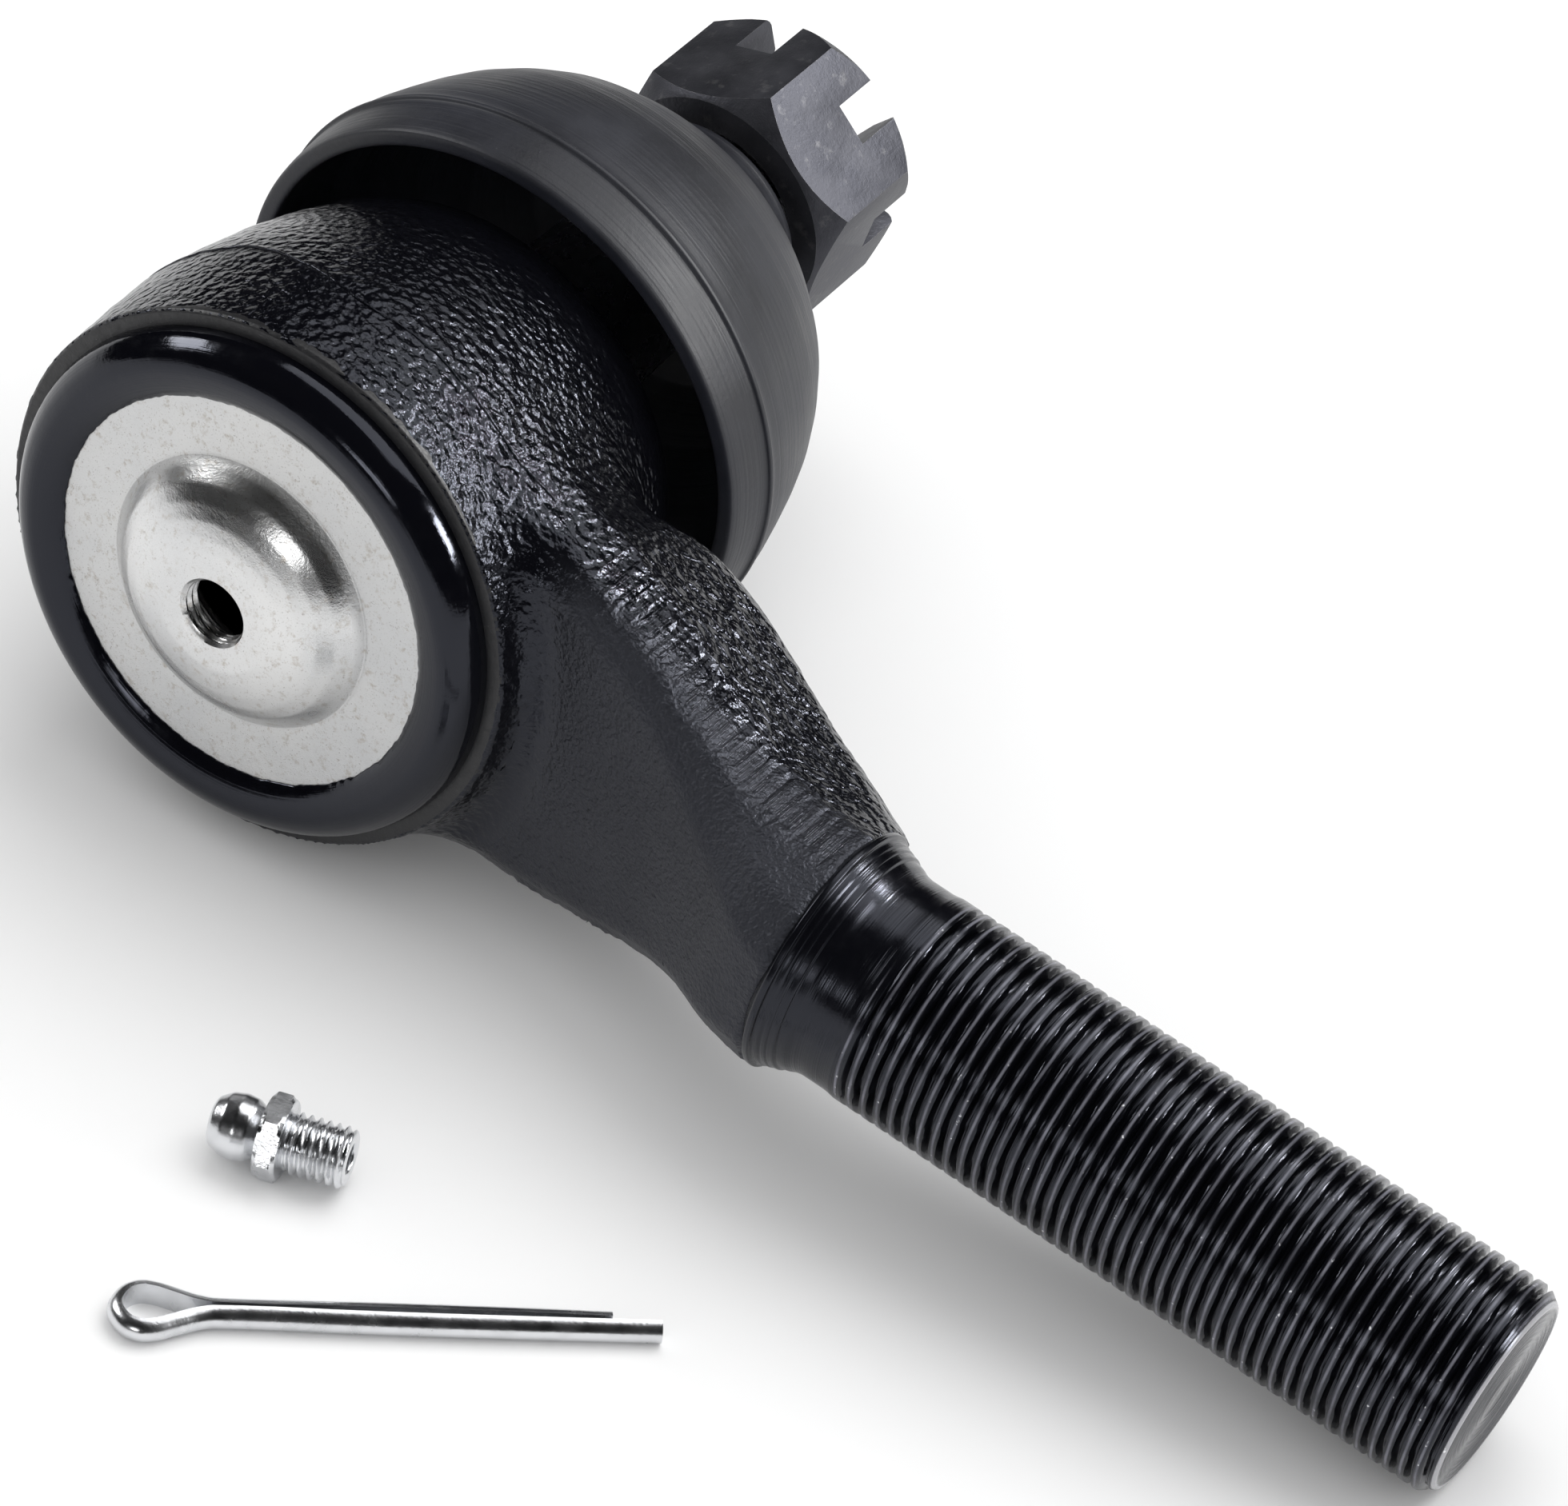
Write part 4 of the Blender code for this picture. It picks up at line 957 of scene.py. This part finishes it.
class TIEROD_OT_cover(bpy.types.Operator):
    """Press the cover plate with its crown and tapped hole"""

    bl_idname = "tierod.cover"
    bl_label = "Cover Plate"

    def execute(self, context):
        outer, inner = COVER_FACE, COVER_FACE + 2.6
        hole = 3.3
        crown_face, crown_back = outer - 4.5, outer - 1.9
        front = [
            (22.8, outer), (14.95, outer), (14.72, outer + 0.10), (14.5, outer - 0.12), (13.9, outer - 0.75),
            (12.7, outer - 1.95), (11.2, outer - 2.95), (9.6, outer - 3.7), (8.0, outer - 4.2),
            (6.5, crown_face), (hole + 0.45, crown_face),
        ]
        back = [
            (hole + 0.3, crown_back), (8.2, crown_back), (10.8, crown_back + 1.5), (12.6, inner),
            (22.8, inner),
        ]
        wall = [(hole, height) for height in np.arange(crown_face + 0.3, crown_back - 0.1, 0.07)]
        outline = np.vstack([softened(front, 0.3, 3), wall, back])
        rows = revolved(refined(outline, 0.9, closed=True), 180)
        radius, angle = polar(rows)
        thread_cut = 0.34 * (1 - thread_height(rows[..., 2], angle, FITTING_PITCH))
        widen(rows, np.where(radius < hole + 0.01, (radius + thread_cut) / radius, 1.0))
        cover = ring_object("cover_plate_zinc", rows, HOUSING, closed=True, smooth_angle=35)
        distance, _ = polar(HOUSING.local(positions(cover)))
        store(cover, "crown", ramp(14.6 - distance, 0.8))
        finish_piece(cover, MATERIALS["zinc"], "housing_body", ("cover_plate",))
        return {"FINISHED"}


SEAT_BACK = -13.2


class TIEROD_OT_inside(bpy.types.Operator):
    """Turn the seats and the half-ball, and coil the preload spring"""

    bl_idname = "tierod.inside"
    bl_label = "Bearing Set"

    def execute(self, context):
        dish = arc(10.3, -89, -49, 14)
        lower = [*dish, (18.9, dish[-1][1]), (19.9, dish[-1][1] - 1.0), (19.9, SEAT_BACK), (0.3, SEAT_BACK)]
        sphere = arc(17.8, 2, 38, 14)
        upper = [(19.9, 12.7), (19.9, sphere[0][1]), *sphere, (sphere[-1][0], 12.7)]
        ball = arc(17.5, 45, 1, 18)
        half = [(9.9, ball[0][1]), *ball, (9.9, ball[-1][1])]
        for name, outline, place, closed, body, node in (
            ("pressure_seat_turned", lower, HOUSING, False, "seats", "pressure_seat"),
            ("upper_seat_turned", upper, HOUSING, True, "seats", "upper_seat"),
            ("half_ball_ground", half, STUD, True, "bearing", "half_ball_bearing"),
        ):
            piece = ring_object(name, revolved(outline, 96), place, closed)
            finish_piece(piece, MATERIALS["bearing"], body, (node,))

        share = np.linspace(0, 1, 240)
        radius = 7.0 + 4.5 * share
        low, high = COVER_FACE - 0.65, SEAT_BACK - 1.25
        coil = np.stack([
            radius * np.cos(TAU * 3 * share), radius * np.sin(TAU * 3 * share), low + (high - low) * share,
        ], axis=1)
        spring = path_object("preload_coil", coil, HOUSING)
        run_nodes(spring, "swept_wire", Wire_Radius=0.95 * MM, Sides=14, Finish=MATERIALS["spring"])
        spring.data.shade_smooth()
        finish_piece(spring, MATERIALS["spring"], "housing_body", ("preload_spring",))
        return {"FINISHED"}


class TIEROD_OT_stud(bpy.types.Operator):
    """Turn the ball stud with its taper and thread"""

    bl_idname = "tierod.stud"
    bl_label = "Ball Stud"

    def execute(self, context):
        outline = [
            *arc(10.0, -89, -14.5, 16), (13.0, -2.5), (13.0, 0.0), (9.6, 0.0), (9.6, 11.0), (8.2, 14.0),
            (8.2, 24.0), (9.3, 28.0),
            (8.3, 56.5), (7.94, 57.2), (7.94, 73.0), (6.9, 74.2), (0.3, 74.2),
        ]
        rows = threaded_rows(softened(outline, 0.2, 2), 64, 1.411, 7.15, 57.4, 74.0, step=0.2)
        stud = ring_object("ball_stud_turned", rows, STUD, smooth_angle=35)
        finish_piece(stud, MATERIALS["stud"], "stud", ("ball_stud",))
        return {"FINISHED"}


class TIEROD_OT_boot(bpy.types.Operator):
    """Mould the dust boot"""

    bl_idname = "tierod.boot"
    bl_label = "Dust Boot"

    def execute(self, context):
        outer = [
            (10.4, 58.2), (11.4, 57.6), (11.8, 56.2), (12.5, 54.9), (14.8, 52.9), (18.1, 50.0), (21.4, 47.0),
            (24.1, 44.0), (26.0, 41.0), (27.5, 38.0), (28.6, 35.0), (29.5, 32.0), (30.3, 29.0), (30.75, 26.6),
            (30.95, 26.3), (30.9, 25.9), (30.55, 25.8), (30.45, 24.0), (30.3, 22.0), (30.1, 20.7),
            (29.8, 20.4), (28.5, 20.4),
        ]
        inner = [
            (28.2, 20.7), (28.25, 26.4), (27.8, 30.6), (26.2, 35.0), (23.6, 40.0), (20.2, 44.8), (15.4, 49.2),
            (8.85, 51.0), (8.6, 56.5), (8.6, 58.0),
        ]
        outline = softened([*outer, *inner], reach=0.35, steps=3, closed=True)
        rows = revolved(refined(outline, 0.9, closed=True), 200)
        boot = ring_object("dust_boot_moulded", rows, STUD, closed=True, smooth_angle=50)
        local = STUD.local(positions(boot))
        store(boot, "along", local[:, 2])
        finish_piece(boot, MATERIALS["rubber"], "bearing", ("dust_boot",))
        return {"FINISHED"}


def cut(obj, tool, operation):
    """Cut an object with a tool that stays out of the picture."""
    tool.hide_render = True
    modifier = obj.modifiers.new(tool.name, "BOOLEAN")
    modifier.operation = operation
    modifier.solver = "EXACT"
    modifier.object = tool


def turned(points, angle):
    """Points turned round Z."""
    return points @ np.array(Matrix.Rotation(angle, 3, "Z")).T


class TIEROD_OT_nut(bpy.types.Operator):
    """Cut the castle nut: hexagon, chamfers, bore and six slots"""

    bl_idname = "tierod.nut"
    bl_label = "Castle Nut"

    def execute(self, context):
        base, top, flat = 60.0, 76.2, 13.0
        turn = math.radians(36.8)
        corner = flat * 2 / math.sqrt(3)
        blank = turned(revolved([(corner, base), (corner, top)], 6), turn)
        nut = ring_object("castle_nut_cut", blank, STUD, smooth_angle=30)
        chamfer = revolved([
            (0.3, top + 0.1), (flat - 0.9, top + 0.1), (flat - 0.2, top - 0.2), (flat + 0.6, top - 1.0),
            (corner + 0.4, top - 3.4), (corner + 0.4, base + 2.9), (flat - 0.5, base - 0.1),
            (0.3, base - 0.1),
        ], 128)
        bore = revolved([
            (0.3, top + 1), (9.6, top + 1), (9.6, top + 0.05), (8.25, top - 1.2), (8.25, base + 1.0),
            (9.4, base - 0.2), (9.4, base - 1), (0.3, base - 1),
        ], 96)
        tools = [ring_object("nut_chamfer", chamfer, STUD), ring_object("nut_bore", bore, STUD)]
        corners = ((20, 2.3), (-20, 2.3), (-20, -2.3), (20, -2.3))
        box = np.array([[(x, y, z) for x, y in corners] for z in (top - 6.2, top + 4)])
        for index in range(3):
            slot = turned(box, turn + math.pi / 6 + index * math.pi / 3)
            tools.append(ring_object(f"nut_slot_{index}", slot, STUD))
        for tool in tools:
            cut(nut, tool, "INTERSECT" if tool is tools[0] else "DIFFERENCE")
        bevel = nut.modifiers.new("edges", "BEVEL")
        bevel.width = 0.34 * MM
        bevel.segments = 3
        bevel.limit_method = "ANGLE"
        bevel.angle_limit = math.radians(25)
        for name in ("phosphate", "rubbed_edge"):
            nut.data.materials.append(MATERIALS[name])
        bevel.material = 1
        apply_modifiers(nut)
        for tool in tools:
            bpy.data.objects.remove(tool, do_unlink=True)
        nut.data.shade_smooth()
        nut.data.set_sharp_from_angle(angle=math.radians(25))
        finish_piece(nut, MATERIALS["phosphate"], "nut", ("castle_nut",))
        return {"FINISHED"}


class TIEROD_OT_fitting(bpy.types.Operator):
    """Turn the loose grease fitting and its check ball"""

    bl_idname = "tierod.fitting"
    bl_label = "Grease Fitting"

    def execute(self, context):
        axis = -FITTING_INWARD
        length = 13.7
        place = loose_place("grease_fitting", axis)
        place.origin = place.row([0.0, 0.0, -length / 2])
        place.origin[2] = 3.8 * MM
        outline = [
            (0.75, 8.0), (0.75, length - 0.1), (0.9, length), (1.9, length), (2.35, length - 0.25),
            (3.05, length - 1.4), (3.25, length - 2.7), (3.05, length - 3.9), (2.5, length - 4.7),
            (2.32, length - 5.2), (2.5, length - 5.5), (2.6, 8.3), (2.6, 6.4), (2.75, 5.9), (3.0, 5.7),
            (3.0, 0.5), (2.6, 0.0), (1.6, 0.0), (1.45, 0.2), (1.45, 8.0),
        ]
        outline = refined(softened(outline, 0.18, 3, closed=True), 0.11, closed=True)
        rows = revolved(outline, 48)
        radius, angle = polar(rows)
        along = rows[..., 2]
        threaded = (along < 5.9) & (radius > 2.3)
        limit = 3.0 - 0.45 * (1 - thread_height(along, angle, FITTING_PITCH))
        widen(rows, np.where(threaded, np.minimum(radius, limit) / radius, 1.0))
        body = ring_object("grease_fitting_turned", rows, place, closed=True, smooth_angle=35)
        finish_piece(body, MATERIALS["bright"], "fitting", ("grease_fitting",))

        flat = 3.8
        corner = flat * 2 / math.sqrt(3)
        rows = revolved(softened([
            (2.2, 6.3), (corner - 0.55, 6.3), (corner, 6.75), (corner, 8.15), (corner - 0.55, 8.6),
            (2.2, 8.6),
        ], 0.1, 2), 96)
        radius, angle = polar(rows)
        from_flat = np.mod(angle + math.pi / 6, math.pi / 3) - math.pi / 6
        widen(rows, np.minimum(radius, flat / np.cos(from_flat)) / radius)
        hexagon = ring_object("fitting_hexagon", rows, place, smooth_angle=20)
        finish_piece(hexagon, MATERIALS["bright"], "fitting")

        globe = revolved(arc(1.1, -88, 88, 24, length - 2.3), 32)
        ball = ring_object("check_ball_ground", globe, place)
        finish_piece(ball, MATERIALS["bearing"], "check_ball", ("fitting_check_ball",))
        spring_materials = frame["nodes"]["fitting_spring"].data.materials
        spring_materials.clear()
        spring_materials.append(MATERIALS["spring"])
        return {"FINISHED"}


class TIEROD_OT_pin(bpy.types.Operator):
    """Fold the loose cotter pin from half-round wire"""

    bl_idname = "tierod.pin"
    bl_label = "Cotter Pin"

    def execute(self, context):
        heading = math.radians(37.5)
        along = np.array([math.cos(heading), math.sin(heading), 0.0])
        aside = np.array([-math.sin(heading), math.cos(heading), 0.0])
        spots = positions(frame["nodes"]["cotter_pin"])
        first = spots @ along
        origin = along * first.min() + aside * ((spots @ aside)[first < first.min() + 0.004].mean())
        origin[2] = 1.3 * MM
        place = Place(origin, np.stack([along, aside, np.cross(along, aside)], axis=1))
        length, short, wire = 51.0, 4.6, 1.29
        eye = [(9.6, 0.22), (8.0, 0.60), (6.0, 1.40), (4.2, 2.08), (3.2, 2.2), (2.2, 1.75), (1.6, 0.9)]
        legs = [(12.4, 0.16), (22.0, 0.28), (32.0, 0.31), (41.0, 0.26)]
        knots = np.array([
            (length, -0.16), *((x, -y) for x, y in reversed(legs)), *((x, -y) for x, y in eye), (1.32, 0.0),
            *reversed(eye), *legs, (length - short, 0.16),
        ])
        steps = np.concatenate([[0], np.cumsum(np.linalg.norm(np.diff(knots, axis=0), axis=1))])
        wanted = np.concatenate([
            np.linspace(0, steps[5], 16)[:-1], np.linspace(steps[5], steps[-6], 90),
            np.linspace(steps[-6], steps[-1], 16)[1:],
        ])
        path = eased(wanted, np.column_stack([steps, knots]))
        tangent = np.gradient(path, wanted, axis=0)
        tangent /= np.linalg.norm(tangent, axis=1)[:, None]
        outward = np.stack([-tangent[:, 1], tangent[:, 0]], axis=1)
        section = [*arc(wire, 0, 180, 17), (-wire * 0.5, 0.0), (wire * 0.5, 0.0)]
        rows = np.stack([
            np.column_stack([path + outward * away, np.full(len(path), upright)]) for upright, away in section
        ], axis=1)
        pin = ring_object("cotter_pin_folded", rows, place, smooth_angle=50)
        finish_piece(pin, MATERIALS["bright"], "pin", ("cotter_pin",))
        return {"FINISHED"}


# ---------------------------------------------------------------------------------------------
# Stage
# ---------------------------------------------------------------------------------------------


class TIEROD_OT_stage(bpy.types.Operator):
    """Lay the floor, hang the lights and set up the camera"""

    bl_idname = "tierod.stage"
    bl_label = "Stage"

    def execute(self, context):
        settings = context.scene.tierod_stage
        scene = context.scene
        scene.view_settings.view_transform = "Standard"
        floor = mesh_object("floor", [(-6, -6, 0), (6, -6, 0), (6, 6, 0), (-6, 6, 0)], [(0, 1, 2, 3)])
        paper = Surface("floor_paper", Roughness=0.9)
        shade = [value * 0.985 for value in settings.floor_colour]
        colour = paper.mix(paper.noise(60.0, 4.0), (*settings.floor_colour, 1.0), (*shade, 1.0))
        floor.data.materials.append(paper.finished(colour))

        world = bpy.data.worlds.new("studio")
        scene.world = world
        world.use_nodes = True
        background = world.node_tree.nodes["Background"].inputs
        background["Color"].default_value = (1.0, 1.0, 1.0, 1.0)
        background["Strength"].default_value = 0.85
        world.cycles_visibility.glossy = False

        target = BALL_CENTRE + np.array([0.05, -0.01, 0.0])
        for name, place, size, power, on_floor in (
            ("overhead", (0.15, 0.45, 0.95), (1.2, 0.8), 6.0, True),
            ("right_bank", (0.95, 0.35, 0.5), (0.30, 0.30), 10.0, False),
            ("sparkle", (0.55, 0.75, 0.75), (0.16, 0.16), 9.0, False),
            ("left_bank", (-0.9, -0.1, 0.55), (0.5, 0.25), 4.0, False),
            ("front_low", (0.1, -1.0, 0.35), (0.3, 0.2), 1.0, False),
        ):
            light = bpy.data.lights.new(name, "AREA")
            light.shape = "RECTANGLE"
            light.size, light.size_y = size
            light.energy = power
            lamp = link_object(name, light)
            lamp.location = Vector(target) + Vector(place)
            lamp.visible_diffuse = on_floor
            lamp.rotation_mode = "QUATERNION"
            lamp.rotation_quaternion = (Vector(target) - lamp.location).to_track_quat("-Z", "Y")

        camera = bpy.data.cameras.new("camera")
        camera.lens = settings.lens
        camera.sensor_width = 36.0
        camera.clip_start, camera.clip_end = 0.05, 20.0
        camera_object = link_object("camera", camera)
        right = HOUSING_BASIS @ np.array([0.80510, -0.25086, 0.53748])
        back = HOUSING_BASIS @ np.array([0.26545, -0.65796, -0.70471])
        right, back = right / np.linalg.norm(right), back / np.linalg.norm(back)
        pose = np.eye(4)
        pose[:3, :3] = np.stack([right, np.cross(back, right), back], axis=1)
        pose[:3, 3] = HOUSING.row([236.45, -463.81, -473.51 + COVER_FACE])
        camera_object.matrix_world = Matrix(pose.tolist())
        scene.camera = camera_object
        return {"FINISHED"}


PIECE_OPERATORS = (
    TIEROD_OT_forging, TIEROD_OT_lip, TIEROD_OT_shank, TIEROD_OT_cover, TIEROD_OT_inside, TIEROD_OT_stud,
    TIEROD_OT_boot, TIEROD_OT_nut, TIEROD_OT_fitting, TIEROD_OT_pin, TIEROD_OT_stage,
)


class TIEROD_PT_panel(bpy.types.Panel):
    """Lists what can be built"""

    bl_idname = "TIEROD_PT_panel"
    bl_label = "Tie Rod End"
    bl_space_type = "VIEW_3D"
    bl_region_type = "UI"
    bl_category = "Tie Rod End"

    def draw(self, context):
        layout = self.layout
        for settings in (context.scene.tierod_housing, context.scene.tierod_stage):
            for name in settings.__annotations__:
                layout.prop(settings, name)
        for operator in PIECE_OPERATORS:
            layout.operator(operator.bl_idname)


CLASSES = (HousingSizes, StageSettings, *PIECE_OPERATORS, TIEROD_PT_panel)


def register():
    for cls in CLASSES:
        bpy.utils.register_class(cls)
    bpy.types.Scene.tierod_housing = bpy.props.PointerProperty(type=HousingSizes)
    bpy.types.Scene.tierod_stage = bpy.props.PointerProperty(type=StageSettings)


def unregister():
    del bpy.types.Scene.tierod_stage
    del bpy.types.Scene.tierod_housing
    for cls in reversed(CLASSES):
        bpy.utils.unregister_class(cls)


def main():
    register()
    build_materials()
    swept_wire_tree()
    shear_mark_tree()
    for operator in PIECE_OPERATORS:
        group, name = operator.bl_idname.split(".")
        getattr(getattr(bpy.ops, group), name)()
    bpy.context.view_layer.update()


if __name__ == "__main__":
    main()
